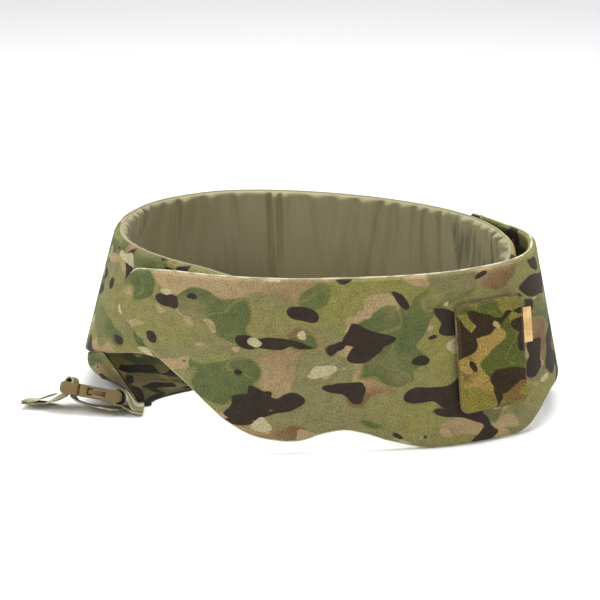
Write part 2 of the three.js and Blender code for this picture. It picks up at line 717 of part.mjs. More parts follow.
// The strap lies on its far edge, and leans as the buckle does.
function addWebbing() {
  const yaw = THREE.MathUtils.degToRad(strapYaw - 180);
  const turn = halfThick + WEBBING_THICKNESS; // half-way round a bar
  const adjusting = [
    fromCorner(17, 5.2, 0.65, 14),
    fromCorner(25.6, 5.6, 0.65, 14),
    fromCorner(34.4, 6.8, 0.63, 16),
    fromCorner(47.7, 8, 1.12, 19),
    atBuckle(PLUG_SLOT_A - 4, -turn - 2.5),
    atBuckle(PLUG_SLOT_A, -halfThick),
    atBuckle(PLUG_SLOT_A, 0),
    atBuckle(PLUG_SLOT_A, halfThick + 0.5),
    atBuckle(PLUG_SLOT_A + 1.6, turn + 2.5),
    atBuckle((PLUG_SLOT_A + PLUG_SLOT_B) / 2, turn + 3.5),
    atBuckle(PLUG_SLOT_B - 1.6, turn + 2.5),
    atBuckle(PLUG_SLOT_B, halfThick + 0.5),
    atBuckle(PLUG_SLOT_B, 0),
    atBuckle(PLUG_SLOT_B, -halfThick),
    atBuckle(PLUG_SLOT_B + 5, -turn - 3),
    fromCorner(90.8, 13.1, 1.13, 16),
    fromCorner(103.9, 13.2, 0.66, 13),
    fromCorner(117.1, 13.4, 0.57, 12),
  ];
  add("adjusting_strap", ribbon(adjusting, yaw), PALE_WEBBING);
  const foldedEnd = [
    fromCorner(117.1, 13.4, 2.77, 12),
    fromCorner(104.9, 13.1, 3.16, 13),
    fromCorner(94.9, 13.5, 6.03, 16),
    fromCorner(87.8, 13.5, 8.83, 17),
  ];
  add("strap_folded_end", ribbon(foldedEnd, yaw), PALE_WEBBING);
  const anchor = [
    fromCorner(-4.7, 9.3, 4.85, 0),
    fromCorner(3.3, 8.2, 5.38, 4),
    atBuckle(-3, halfThick - 0.5),
    atBuckle(1, turn + 0.1),
    atBuckle(SOCKET_BAR - 1, turn - 0.1),
    atBuckle(SOCKET_BAR, halfThick - 2),
    atBuckle(SOCKET_BAR, -halfThick + 2),
    atBuckle(SOCKET_BAR - 1, -turn + 0.1),
    atBuckle(1, -turn - 0.1),
    fromCorner(3.3, 8.2, 2.8, 3),
    fromCorner(-4.7, 9.3, 2.85, 0),
  ];
  add("anchor_webbing", ribbon(anchor, yaw), PALE_WEBBING);
}

addBody();
addPanel();
add("panel_binding", panelBinding(), TAPE);
addPanelTab();
addPatch();
addTail();
addBuckle();
addWebbing();

// The footprint's middle becomes the origin.
wrap.updateMatrixWorld(true);
const bounds = new THREE.Box3().setFromObject(wrap, true);
const middle = bounds.getCenter(new THREE.Vector3());
wrap.position.set(-middle.x, -middle.y, -bounds.min.z);

export default wrap;
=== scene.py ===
import math

import bpy
import bmesh
import numpy as np
from mathutils import Matrix, Vector


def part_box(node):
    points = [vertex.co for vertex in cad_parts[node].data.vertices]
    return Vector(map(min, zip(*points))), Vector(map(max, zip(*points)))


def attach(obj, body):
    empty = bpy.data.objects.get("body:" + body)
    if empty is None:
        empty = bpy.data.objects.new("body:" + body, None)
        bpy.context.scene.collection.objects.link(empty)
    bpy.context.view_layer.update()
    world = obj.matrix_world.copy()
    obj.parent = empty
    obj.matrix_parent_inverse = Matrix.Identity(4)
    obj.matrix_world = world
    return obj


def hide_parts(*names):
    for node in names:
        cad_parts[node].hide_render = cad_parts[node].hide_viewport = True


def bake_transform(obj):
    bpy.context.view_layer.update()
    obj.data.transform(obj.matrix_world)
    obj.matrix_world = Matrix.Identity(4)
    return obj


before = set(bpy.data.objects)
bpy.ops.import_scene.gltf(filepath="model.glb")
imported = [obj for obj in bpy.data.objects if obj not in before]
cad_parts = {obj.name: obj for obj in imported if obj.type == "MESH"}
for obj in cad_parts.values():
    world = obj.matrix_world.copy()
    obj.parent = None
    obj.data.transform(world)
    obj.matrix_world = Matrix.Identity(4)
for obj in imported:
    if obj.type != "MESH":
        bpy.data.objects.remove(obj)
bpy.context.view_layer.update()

MM = 0.001

# ---------- the wrap's own plan, the same as the part's, in millimetres ----------
RING_WIDTH = 393
RING_DEPTH = 323
RIM_HEIGHT = 165
# Each entry: x and y as shares of the ring's width and depth, then the wall's flare.
OVAL = [
    (-0.089, 0.557, 37), (0.191, 0.44, 41), (0.382, 0.245, 38), (0.468, 0, 34),
    (0.455, -0.217, 30), (0.3, -0.372, 22), (0.025, -0.443, 14), (-0.234, -0.424, 28),
    (-0.453, -0.192, 46), (-0.527, 0.046, 43), (-0.478, 0.365, 46), (-0.305, 0.539, 40),
]
BODY_ENDS = (-515, 405)
BODY_THICKNESS = 10.8
LINING_SEAMS = (-171, 195)
PANEL_ENDS = (214, 786)
PANEL_FLEX = 262
PANEL_THICKNESS = 8
# Tables of station and value: the panel's distance from the body, then the heights of the
# body's hem, the panel's hem and the panel's top.
STAND_OFF = [
    (214, 2.9), (254, 6.4), (305, 16), (340, 12), (377, 7.5), (430, 5),
    (587, 5.5), (640, 2.9), (786, 2.9),
]
BODY_HEM = [(0, 36), (255, 36), (335, 60.8), (400, 76), (520, 76)]
PANEL_HEM = [
    (214, 29), (340, 29.3), (358, 29), (370, 24.5), (382, 14.5), (394, 5), (406, 1.5), (440, 0.8),
    (475, 0.8), (517, 9.5), (545, 18.5), (559, 20.8), (574, 18.8), (603, 12), (622, 14),
    (638, 18.8), (658, 31), (670, 41), (682, 51.5), (699, 65), (724, 79), (750, 92.5), (768, 104),
]
PANEL_TOP = [(214, 165), (650, 165), (710, 162), (768, 154)]
TIP_START = 764
TIP_MIDDLE = 127
TAIL_END = 335
TAIL_THICKNESS = 2.4
TAIL_DEPTH_SIDE = 56
TAIL_DEPTH_BACK = 125
TAIL_CORNER_RISE = 80
PLAN_SAMPLES = 2400
PLAN_STEP = 3.5
TINY = 1e-6  # keeps a division by zero away


# ---------- lines and vectors ----------
def unit(vectors):
    """The same vectors, each with a length of one."""
    return vectors / np.linalg.norm(vectors, axis=-1, keepdims=True)


def lengths_along(path):
    """How far along a path each of its points is."""
    return np.concatenate([[0], np.cumsum(np.linalg.norm(np.diff(path, axis=0), axis=1))])


def ease(share):
    """A share from 0 to 1 that starts and ends slowly."""
    return share ** 2 * (3 - 2 * share)


def curve_point(around, f):
    """A point on a smooth line through four points, at a share f of the way from the second to
    the third."""
    a, b, c, d = around
    spans = ((a, b), (b, c), (c, d))
    t0, t1, t2 = (max(np.linalg.norm(q[:3] - p[:3]), TINY) ** 0.5 for p, q in spans)
    m1 = ((b - a) / t0 - (c - a) / (t0 + t1) + (c - b) / t1) * t1
    m2 = ((c - b) / t1 - (d - b) / (t1 + t2) + (d - c) / t2) * t1
    return b + m1 * f + (3 * (c - b) - 2 * m1 - m2) * f ** 2 + (2 * (b - c) + m1 + m2) * f ** 3


# ---------- plan of the wall ----------
def closed_curve(points):
    """A smooth closed line through the points."""
    count = len(points)
    line = []
    for i in range(PLAN_SAMPLES + 1):
        share = i / PLAN_SAMPLES * count
        k = int(share) % count
        around = [np.array(points[(k + j) % count], float) for j in (-1, 0, 1, 2)]
        line.append(curve_point(around, share - int(share)))
    return np.array(line)


def oval_points(flare_share):
    """The oval's points, moved outward by a share of each one's flare."""
    rim = np.array([(x * RING_WIDTH, y * RING_DEPTH) for x, y, _ in OVAL])
    points = []
    for i, (_, _, flare) in enumerate(OVAL):
        along = rim[(i + 1) % len(rim)] - rim[i - 1]
        along /= np.linalg.norm(along)
        points.append(rim[i] + np.array([-along[1], along[0]]) * flare * flare_share)
    return points


RIM = closed_curve(oval_points(0))
FOOT = closed_curve(oval_points(1))
RIM_STEPS = lengths_along(RIM)
RIM_LENGTH = RIM_STEPS[-1]
RIM_ALONG = np.gradient(RIM, axis=0)
FOOT_ALONG = np.gradient(FOOT, axis=0)


def wall_raw(station, z, out):
    """Points of the wall at stations along the rim, heights and distances outside the body."""
    station, z, out = np.broadcast_arrays(*(np.asarray(v, float) for v in (station, z, out)))
    where = np.mod(station, RIM_LENGTH)
    share = (z / RIM_HEIGHT)[..., None]

    def at(samples):
        return np.stack([np.interp(where, RIM_STEPS, samples[:, i]) for i in (0, 1)], axis=-1)

    p = at(FOOT) + (at(RIM) - at(FOOT)) * share
    along = unit(at(FOOT_ALONG) + (at(RIM_ALONG) - at(FOOT_ALONG)) * share)
    x = p[..., 0] - along[..., 1] * out
    y = p[..., 1] + along[..., 0] * out
    return np.stack([x, y, z], axis=-1)


def middle_shift():
    """The plan's centre in the model's frame, from where the CAD body stands."""
    stations = np.arange(*BODY_ENDS, PLAN_STEP)
    heights = smooth(BODY_HEM, np.abs(stations))
    lows = wall_raw(stations, heights, 0)
    tops = wall_raw(stations, RIM_HEIGHT, 0)
    own = np.concatenate([lows, tops])
    low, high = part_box("body_cover")
    shift_x = ((low.x + high.x) / MM - own[:, 0].min() - own[:, 0].max()) / 2
    return np.array([shift_x, high.y / MM - own[:, 1].max(), 0])


def smooth(table, station):
    """A smooth line through (station, value) entries, without overshoot."""
    xs = np.array([s for s, _ in table], float)
    ys = np.array([v for _, v in table], float)
    steps = np.diff(ys) / np.diff(xs)
    slopes = [steps[0]]
    for a, b in zip(steps, steps[1:]):
        slopes.append(2 * a * b / (a + b) if a * b > 0 else 0.0)
    slopes = np.array([*slopes, steps[-1]])
    s = np.clip(np.asarray(station, float), xs[0], xs[-1])
    k = np.clip(np.searchsorted(xs, s, side="right") - 1, 0, len(xs) - 2)
    width = xs[k + 1] - xs[k]
    f = (s - xs[k]) / width
    return (
        ys[k] * (1 + 2 * f) * (1 - f) ** 2
        + slopes[k] * width * f * (1 - f) ** 2
        + ys[k + 1] * f ** 2 * (3 - 2 * f)
        - slopes[k + 1] * width * f ** 2 * (1 - f)
    )


SHIFT = middle_shift()


def wall(station, z, out):
    """The same points as wall_raw gives, in the model's frame and in metres."""
    return (wall_raw(station, z, out) + SHIFT) * MM


# ---------- view, floor and light ----------
VIEW_ANGLE = 17  # degrees above the floor
VIEW_DISTANCE = 2.3
VIEW_TARGET = (-23, 98)  # x from the plan's centre, and z
VIEW_LENS = 138
VIEW_SENSOR = 36
FLOOR_SIZE = 14
FLOOR_PAINT = (0.95, 0.95, 0.95, 1)
FLOOR_ROUGHNESS = 0.9
SKY_STRENGTH = 0.62
# Each lamp: name, place, the point it faces, size and watts.
LAMPS = [
    ("overhead", (0.1, 0.25, 1.9), (0, 0, 0.05), 1.5, 42),
    ("front_left", (-1.9, -1.0, 1.7), (0, 0, 0.08), 1.2, 20),
    ("front_right", (1.6, -1.7, 1.5), (0, 0, 0.08), 1.4, 8),
]


def look_at(thing, target):
    thing.rotation_euler = (Vector(target) - thing.location).to_track_quat("-Z", "Y").to_euler()


def add_view():
    elevation = math.radians(VIEW_ANGLE)
    x, z = VIEW_TARGET
    target = Vector(((x + SHIFT[0]) * MM, SHIFT[1] * MM, z * MM))
    data = bpy.data.cameras.new("view")
    data.lens = VIEW_LENS
    data.sensor_width = VIEW_SENSOR
    view = bpy.data.objects.new("view", data)
    back = Vector((0, -math.cos(elevation), math.sin(elevation)))
    view.location = target + back * VIEW_DISTANCE
    bpy.context.scene.collection.objects.link(view)
    look_at(view, target)
    bpy.context.scene.camera = view


def add_lamp(name, place, target, size, watts):
    data = bpy.data.lights.new(name, "AREA")
    data.shape = "DISK"
    data.size = size
    data.energy = watts
    lamp = bpy.data.objects.new(name, data)
    lamp.location = place
    bpy.context.scene.collection.objects.link(lamp)
    look_at(lamp, target)


def add_studio():
    bpy.ops.mesh.primitive_plane_add(size=FLOOR_SIZE)
    floor = bpy.context.object
    floor.name = "floor"
    paint = bpy.data.materials.new("floor_paint")
    paint.use_nodes = True
    shader = paint.node_tree.nodes["Principled BSDF"]
    shader.inputs["Base Color"].default_value = FLOOR_PAINT
    shader.inputs["Roughness"].default_value = FLOOR_ROUGHNESS
    floor.data.materials.append(paint)
    world = bpy.data.worlds.new("studio")
    bpy.context.scene.world = world
    world.use_nodes = True
    sky = world.node_tree.nodes["Background"]
    sky.inputs["Color"].default_value = (1, 1, 1, 1)
    sky.inputs["Strength"].default_value = SKY_STRENGTH
    bpy.context.scene.view_settings.view_transform = "Standard"
    for lamp in LAMPS:
        add_lamp(*lamp)


# ---------- making meshes ----------
def mesh_piece(name, points, faces, uvs=None):
    """A mesh object from points in metres and faces; uvs holds one pair for each face corner."""
    mesh = bpy.data.meshes.new(name)
    mesh.from_pydata([tuple(p) for p in points], [], [tuple(f) for f in faces])
    if uvs is not None:
        layer = mesh.uv_layers.new(name="Cloth")
        layer.data.foreach_set("uv", np.asarray(uvs, np.float32).ravel())
    mesh.validate()
    mesh.shade_smooth()
    piece = bpy.data.objects.new(name, mesh)
    bpy.context.scene.collection.objects.link(piece)
    return piece


def grid_piece(name, grid, uv, closed=False, capped=False):
    """A piece from rows of points. closed joins each row's end to its start, and capped closes
    the first and last rows. uv has one more column than a closed grid."""
    rows, columns = grid.shape[:2]
    faces = []
    corners = []
    spans = columns if closed else columns - 1
    for i in range(rows - 1):
        for j in range(spans):
            k = (j + 1) % columns
            low = i * columns
            faces.append((low + j, low + k, low + columns + k, low + columns + j))
            corners += [uv[i, j], uv[i, j + 1], uv[i + 1, j + 1], uv[i + 1, j]]
    if capped:
        first = list(range(columns))
        last = [(rows - 1) * columns + j for j in range(columns)]
        faces.append(tuple(reversed(first)))
        corners += [uv[0, j] for j in reversed(first)]
        faces.append(tuple(last))
        corners += [uv[rows - 1, j] for j in range(columns)]
    piece = mesh_piece(name, grid.reshape(-1, 3), faces, corners)
    turn_faces_out(piece)
    return piece


def turn_faces_out(piece):
    """Every closed shell's faces are turned outward."""
    shape = bmesh.new()
    shape.from_mesh(piece.data)
    bmesh.ops.recalc_face_normals(shape, faces=shape.faces)
    shape.to_mesh(piece.data)
    shape.free()


def select_only(piece):
    bpy.ops.object.select_all(action="DESELECT")
    piece.select_set(True)
    bpy.context.view_layer.objects.active = piece


def use_modifier(piece, kind, **settings):
    """Adds a modifier to the piece and applies it."""
    select_only(piece)
    modifier = piece.modifiers.new(kind.title(), kind)
    for key, value in settings.items():
        setattr(modifier, key, value)
    bpy.ops.object.modifier_apply(modifier=modifier.name)


def tube(name, path, radius, sides=8, flatten=1.0):
    """A round or flattened tube along points in metres, with its length as the cloth's u."""
    path = np.asarray(path, float)
    ahead = np.roll(path, -1, 0) - np.roll(path, 1, 0)
    ahead[0] = path[1] - path[0]
    ahead[-1] = path[-1] - path[-2]
    ahead = unit(ahead)
    across = np.cross(ahead, (0, 0, 1))
    across /= np.maximum(np.linalg.norm(across, axis=1, keepdims=True), TINY)
    rise = np.cross(across, ahead)
    turn = np.arange(sides) / sides * 2 * math.pi
    ring = (
        across[:, None] * np.cos(turn)[None, :, None] * radius
        + rise[:, None] * np.sin(turn)[None, :, None] * radius * flatten
    )
    grid = path[:, None] + ring
    length = lengths_along(path)
    around = np.arange(sides + 1) / sides * 2 * math.pi * radius
    uv = np.stack(np.broadcast_arrays(length[:, None], around[None]), axis=-1)
    return grid_piece(name, grid, uv, closed=True, capped=True)


EDGE_STEPS = 5  # facets of a pad's rounded edge


def section_half(face_steps):
    """Half of a pad's section, from its lower seam over one face to its upper seam. Each entry
    is (share of the height that is straight, part of the rounded edge, share of the depth)."""
    turn = [i / EDGE_STEPS * math.pi / 2 for i in range(EDGE_STEPS + 1)]
    lower = [(0.0, -math.cos(a), math.sin(a)) for a in turn]
    face = [(i / face_steps, 0.0, 1.0) for i in range(1, face_steps)]
    upper = [(1.0, math.sin(a), math.cos(a)) for a in turn]
    return np.array(lower + face + upper)


def pad_half(stations, low, high, edge, face_steps):
    """Heights and depth shares of one half of a pad, for each station."""
    half = section_half(face_steps)
    low, high, edge = (np.broadcast_to(v, stations.shape)[:, None] for v in (low, high, edge))
    z = low + edge + (high - low - 2 * edge) * half[None, :, 0] + edge * half[None, :, 1]
    depth = np.broadcast_to(half[None, :, 2], z.shape)
    return z, depth


# ---------- cloth shapes ----------
def ripple(value, seed, period, count=5):
    """A smooth, uneven wave along a length: a sum of waves near a period."""
    random = np.random.RandomState(seed)
    total = np.zeros_like(value, dtype=float)
    for _ in range(count):
        own_period = period * random.uniform(0.6, 1.7)
        total += np.sin(value * 2 * math.pi / own_period + random.uniform(0, 6.28))
    return total / count


CREASE_DEPTH = 1.5  # deepens every crease below
# The lining's long creases: station, depth, width, drift per mm of fall, how far down it runs.
CREASES = [
    (-128, 2.6, 5, 0.10, 70), (-96, 1.6, 6, 0.22, 60), (-62, 1.4, 5, 0.18, 50),
    (-20, 3.4, 4, 0.02, 135), (-8, 2.2, 4, -0.03, 130), (22, 1.5, 8, 0.05, 100),
    (52, 1.4, 7, -0.20, 120), (78, 1.9, 8, -0.24, 130), (108, 2.8, 6, -0.26, 135),
    (126, 1.8, 7, -0.22, 120), (149, 2.6, 6, -0.16, 135), (164, 2.0, 6, -0.20, 120),
    (183, 2.8, 5, -0.14, 130), (-150, 1.6, 6, 0.12, 110),
]


def lining_relief(station, z):
    """How far the lining stands into the ring, in millimetres, at each point."""
    fall = RIM_HEIGHT - z
    relief = 0.9 * ripple(station + 0.25 * fall, 3, 40) + 0.3 * ripple(z + 0.3 * station, 5, 60)
    for place, depth, width, drift, reach in CREASES:
        x = (station - place - drift * fall) / width
        fade = np.clip(1 - fall / reach, 0, 1) ** 0.6 * np.clip(fall / 4, 0, 1)
        ridge = 0.75 * np.exp(-((x - 1.1) ** 2))
        groove = np.exp(-(x ** 2) * 2)
        relief = relief + CREASE_DEPTH * depth * fade * (ridge - groove)
    rim = np.exp(-((fall - 7) / 6) ** 2)
    return relief + 0.5 * rim * ripple(station, 11, 9)


def gathered_relief(station, z):
    """The same where the lining is gathered onto the body's ends: slanting folds with one steep
    side, and small puckers along the seam under the rim."""
    fall = RIM_HEIGHT - z
    right = station > 0
    drift = 6 * ripple(z, 21, 90, 3) + np.where(right, 0.45, 0.05) * fall
    folds = ripple(station + drift, 23, np.where(right, 23, 12), 4)
    sharp = folds + 0.35 * np.abs(ripple(station + drift, 27, np.where(right, 14, 8), 3))
    strength = np.where(right, 5.4, 3.2) * np.exp(-fall / 110) + 1.0
    puckers = 0.7 * np.exp(-((fall - 9) / 6) ** 2) * ripple(station, 29, 6, 4)
    puffed = 1.4 * np.exp(-((fall - 24) / 24) ** 2)
    return np.clip(strength * sharp, -4.5, 5.0) + puckers + puffed


SHELL_FULLNESS = 1.6
RIM_RISE = 1.2
RIM_SINK_LEFT = 7
RIM_SINK_RIGHT = 10
BODY_EDGE = 5.2  # radius of the body's rounded edges
COVER_INSET = 0.2
SHELL_STEP = 2.2
LINING_STEP = 1.4


def outer_relief(station, z):
    """The shell's fullness where no panel lies on it and its unevenness, in millimetres."""
    free = np.clip((station + 355) / 30, 0, 1) * np.clip((205 - station) / 30, 0, 1)
    uneven = 0.28 * ripple(station + 0.5 * z, 31, 90) + 0.14 * ripple(z - 0.4 * station, 33, 48)
    return SHELL_FULLNESS * free + uneven


def body_top(stations):
    """The rim, which sinks a little where the two ends go under the front panel."""
    left = np.clip((-stations - 440) / 75, 0, 1)
    right = np.clip((stations - 322) / 60, 0, 1)
    return RIM_HEIGHT + RIM_RISE - RIM_SINK_LEFT * ease(left) - RIM_SINK_RIGHT * ease(right)


def body_half(name, start, end, sign, relief, step):
    """The outer (sign 1) or inner (sign -1) half of the padded body, from seam to seam."""
    stations = np.linspace(start, end, max(int((end - start) / step), 8))
    low = smooth(BODY_HEM, np.abs(stations)) - 1.5
    high = body_top(stations)
    z, depth = pad_half(stations, low, high, BODY_EDGE, 26)
    grid_stations = np.broadcast_to(stations[:, None], z.shape)
    middle = -BODY_THICKNESS / 2
    face = sign * (BODY_THICKNESS / 2 - COVER_INSET) * depth
    out = middle + face + sign * relief(grid_stations, z) * depth ** 2
    grid = wall(grid_stations, z, out)
    uv = np.stack([grid_stations * MM, z * MM], axis=-1)
    return grid_piece(name, grid, uv)


def thicken(piece, thickness, offset):
    use_modifier(piece, "SOLIDIFY", thickness=thickness, offset=offset, use_even_offset=True)
    turn_faces_out(piece)


# ---------- materials ----------
def linear(r, g, b):
    """A screen colour, 0 to 255, as the shader's linear colour."""
    def one(v):
        v /= 255
        return v / 12.92 if v <= 0.04045 else ((v + 0.055) / 1.055) ** 2.4
    return (one(r), one(g), one(b), 1.0)


WAVE_PHASE = 20  # radians that a wave texture turns through per unit of its scale


class Recipe:
    """A material's nodes, added one after the other."""

    def __init__(self, name):
        self.material = bpy.data.materials.new(name)
        self.material.use_nodes = True
        self.nodes = self.material.node_tree.nodes
        self.links = self.material.node_tree.links
        self.shader = self.nodes["Principled BSDF"]

    def add(self, kind, inputs=None, **settings):
        node = self.nodes.new("ShaderNode" + kind)
        for key, value in settings.items():
            setattr(node, key, value)
        for key, value in (inputs or {}).items():
            self.put(node.inputs[key], value)
        return node

    def put(self, socket, value):
        if isinstance(value, bpy.types.NodeSocket):
            self.links.new(value, socket)
        else:
            socket.default_value = value

    def math(self, operation, *values):
        node = self.add("Math", operation=operation)
        for i, value in enumerate(values):
            self.put(node.inputs[i], value)
        return node.outputs[0]

    def cloth_place(self, scale=(1, 1, 1), shift=(0, 0, 0), turn=0.0):
        uv = self.add("UVMap", uv_map="Cloth").outputs["UV"]
        return self.add(
            "Mapping", {"Vector": uv, "Scale": scale, "Location": shift, "Rotation": (0, 0, turn)}
        ).outputs[0]

    def noise(self, place, scale, detail=2.0, rough=0.5):
        inputs = {"Vector": place, "Scale": scale, "Detail": detail, "Roughness": rough}
        return self.add("TexNoise", inputs).outputs[0]

    def ribs(self, place, fineness, **inputs):
        """Parallel ribs across the cloth. fineness is their wave's radians per metre."""
        inputs = {"Vector": place, "Scale": fineness / WAVE_PHASE, "Detail": 1.0, **inputs}
        node = self.add("TexWave", inputs, wave_type="BANDS", bands_direction="X")
        return node.outputs[1]

    def step(self, value, low, high):
        inputs = {"Value": value, "From Min": low, "From Max": high}
        return self.add("MapRange", inputs, interpolation_type="SMOOTHSTEP").outputs[0]

    def shade(self, colour, value, low, high, darkest, lightest):
        """The colour, darker or lighter as the value goes from low to high."""
        inputs = {"Value": value, "From Min": low, "From Max": high}
        light = self.add("MapRange", {**inputs, "To Min": darkest, "To Max": lightest}).outputs[0]
        grey = self.add("CombineColor", {0: light, 1: light, 2: light}).outputs[0]
        return self.mix(1.0, colour, grey, "MULTIPLY")

    def combine(self, operation, under, over):
        return self.add("VectorMath", {0: under, 1: over}, operation=operation).outputs[0]

    def mix(self, share, under, over, blend="MIX"):
        node = self.add("Mix", data_type="RGBA", blend_type=blend)
        self.put(node.inputs["Factor"], share)
        self.put(node.inputs["A"], under)
        self.put(node.inputs["B"], over)
        return node.outputs["Result"]

    def bump(self, height, strength, distance, below=None):
        inputs = {"Height": height, "Strength": strength, "Distance": distance}
        if below is not None:
            inputs["Normal"] = below
        return self.add("Bump", inputs).outputs[0]

    def finish(self, colour, roughness, normal, sheen=0.0, sheen_roughness=0.5, specular=0.5):
        sockets = {
            "Base Color": colour, "Roughness": roughness, "Normal": normal, "Sheen Weight": sheen,
            "Sheen Roughness": sheen_roughness, "Specular IOR Level": specular,
        }
        for key, value in sockets.items():
            self.put(self.shader.inputs[key], value)
        return self.material


OLIVE_YELLOW = linear(124, 119, 65)
PALE_GREEN = linear(119, 114, 77)
MID_GREEN = linear(82, 91, 53)
TAN = linear(152, 132, 95)
BROWN = linear(112, 88, 61)
DARK_BROWN = linear(50, 41, 34)
CREAM = linear(168, 159, 122)
LINING_DARK = linear(134, 127, 92)
LINING_LIGHT = linear(150, 143, 106)
# painted shade for the lining's gathered folds
LINING_FOLD_SHADE = linear(62, 57, 36)


CAMO_PER_M = 13
TAN_LEVEL = 0.545
GREEN_LEVEL = 0.55


def camo_colour(recipe, shift, size=1.0, turn=0.0, dark=0.0):
    """Soft and hard-edged zones of a generic camouflage, as a colour socket."""
    per = CAMO_PER_M / size
    place = recipe.cloth_place((per, per * 1.4, 1), shift, turn)
    warp = recipe.add("TexNoise", {"Vector": place, "Scale": 1.7, "Detail": 0.8}).outputs["Color"]
    offset = recipe.combine("SUBTRACT", warp, (0.5, 0.5, 0.5))
    pushed = recipe.add("VectorMath", {0: offset, "Scale": 0.42}, operation="SCALE").outputs[0]
    bent = recipe.combine("ADD", place, pushed)

    def zone(seed, scale, level, soft=0.007, detail=0.9):
        moved = recipe.combine("ADD", bent, (seed, seed * 1.7, seed * 0.6))
        value = recipe.noise(moved, scale, detail, 0.45)
        return value, recipe.step(value, level - soft, level + soft)

    _, haze = zone(3.1, 0.8, 0.5, 0.16)
    colour = recipe.mix(haze, OLIVE_YELLOW, PALE_GREEN)
    _, warm = zone(7.7, 0.9, 0.52, 0.10)
    earth = recipe.mix(warm, TAN, BROWN)
    tan_value, tan_zone = zone(11.3, 1.15, TAN_LEVEL)
    colour = recipe.mix(tan_zone, colour, earth)
    green_value, green_zone = zone(19.9, 1.05, GREEN_LEVEL)
    _, fade = zone(23.4, 1.1, 0.47, 0.12)
    strength = recipe.math("ADD", 0.55, recipe.math("MULTIPLY", fade, 0.45))
    colour = recipe.mix(recipe.math("MULTIPLY", green_zone, strength), colour, MID_GREEN)
    for value, level in ((tan_value, TAN_LEVEL), (green_value, GREEN_LEVEL)):
        away = recipe.math("ABSOLUTE", recipe.math("SUBTRACT", value, level))
        line = recipe.math("SUBTRACT", 1.0, recipe.step(away, 0.004, 0.011))
        colour = recipe.mix(recipe.math("MULTIPLY", line, 0.55), colour, OLIVE_YELLOW)
    _, twigs = zone(31.7, 2.6, 0.66, 0.01, 1.0)
    colour = recipe.mix(twigs, colour, TAN)
    spots = (
        (41.2, 2.3, 0.645 - dark, DARK_BROWN),
        (53.8, 1.3, 0.665 - dark, DARK_BROWN),
        (67.1, 2.3, 0.725, CREAM),
    )
    for seed, scale, level, paint in spots:
        _, spot = zone(seed, scale, level, 0.006, 0.4)
        colour = recipe.mix(spot, colour, paint)
    return colour


def weave(recipe, colour, fineness=900, contrast=0.55):
    """Woven threads: their colour's unevenness and their relief. Returns colour and height."""
    place = recipe.cloth_place()
    height = None
    for turn in (0.0, math.pi / 2):
        turned = recipe.cloth_place(turn=turn)
        wave = recipe.ribs(turned, fineness, **{"Distortion": 1.2, "Detail Scale": 2.0})
        height = wave if height is None else recipe.math("MAXIMUM", height, wave)
    grain = recipe.noise(place, fineness * 0.75, 2.0, 0.7)
    blotch = recipe.noise(place, fineness * 0.12, 2.0, 0.6)
    fine = recipe.math("MULTIPLY", grain, 0.75)
    fleck = recipe.math("ADD", fine, recipe.math("MULTIPLY", blotch, 0.25))
    toned = recipe.shade(colour, fleck, 0.3, 0.7, 1 - contrast, 1 + contrast)
    relief = recipe.math("ADD", recipe.math("MULTIPLY", height, 0.5), recipe.math("MULTIPLY", grain, 0.5))
    return toned, relief


def camo_cloth(name, shift, size=1.0, turn=0.0, dark=0.0, shade=1.0):
    """Printed cloth. dark adds brown blotches, and shade below 1 darkens the whole of it as painted
    shade.
    """
    recipe = Recipe(name)
    colour = camo_colour(recipe, shift, size, turn, dark)
    # shade below 1 is painted shade: it darkens the whole cloth, and blue a little more
    if shade < 1:
        colour = recipe.mix(1.0, colour, (shade, shade, shade * 0.9, 1), "MULTIPLY")
    toned, relief = weave(recipe, colour)
    normal = recipe.bump(relief, 0.5, 0.0004)
    return recipe.finish(toned, 0.9, normal, 0.03, 0.6, 0.15)


def olive_lining(name, folds, slant):
    """Smooth lining fabric with painted shade in its gathered folds. folds is how dark that painted shade
    is, and slant is its lean.
    """
    recipe = Recipe(name)
    place = recipe.cloth_place()
    base = recipe.mix(recipe.noise(place, 9, 3.0, 0.55), LINING_DARK, LINING_LIGHT)
    leaning = recipe.cloth_place(turn=slant)
    drawn = recipe.add("Mapping", {"Vector": leaning, "Scale": (1, 0.11, 1)}).outputs[0]
    # painted shade: streaks of a darker colour along the slanting folds
    painted_fold_shade = recipe.step(recipe.noise(drawn, 75, 2.0, 0.55), 0.5, 0.66)
    base = recipe.mix(recipe.math("MULTIPLY", painted_fold_shade, folds), base, LINING_FOLD_SHADE)
    toned, relief = weave(recipe, base, 2200, 0.07)
    crinkle = recipe.noise(recipe.cloth_place((1, 0.35, 1)), 55, 3.0, 0.6)
    soft = recipe.bump(crinkle, 0.35, 0.0012)
    normal = recipe.bump(relief, 0.2, 0.00015, soft)
    return recipe.finish(toned, 0.5, normal, 0.3, 0.35)


def loop_pile():
    """The patch's fuzzy loops, printed like the cloth but yellower."""
    recipe = Recipe("loop_pile")
    colour = camo_colour(recipe, (4.4, 3.1, 0), 0.85, 1.2, 0.05)
    place = recipe.cloth_place()
    fuzz = recipe.noise(place, 620, 3.0, 0.8)
    tuft = recipe.add("TexVoronoi", {"Vector": place, "Scale": 620}, feature="SMOOTH_F1").outputs[0]
    toned = recipe.shade(colour, fuzz, 0.34, 0.66, 0.35, 1.75)
    warmer = recipe.mix(1.0, toned, (1.12, 1.04, 0.55, 1), "MULTIPLY")
    height = recipe.math("ADD", fuzz, recipe.math("MULTIPLY", tuft, -0.8))
    normal = recipe.bump(height, 0.9, 0.0012)
    return recipe.finish(warmer, 0.95, normal, 0.1, specular=0.1)


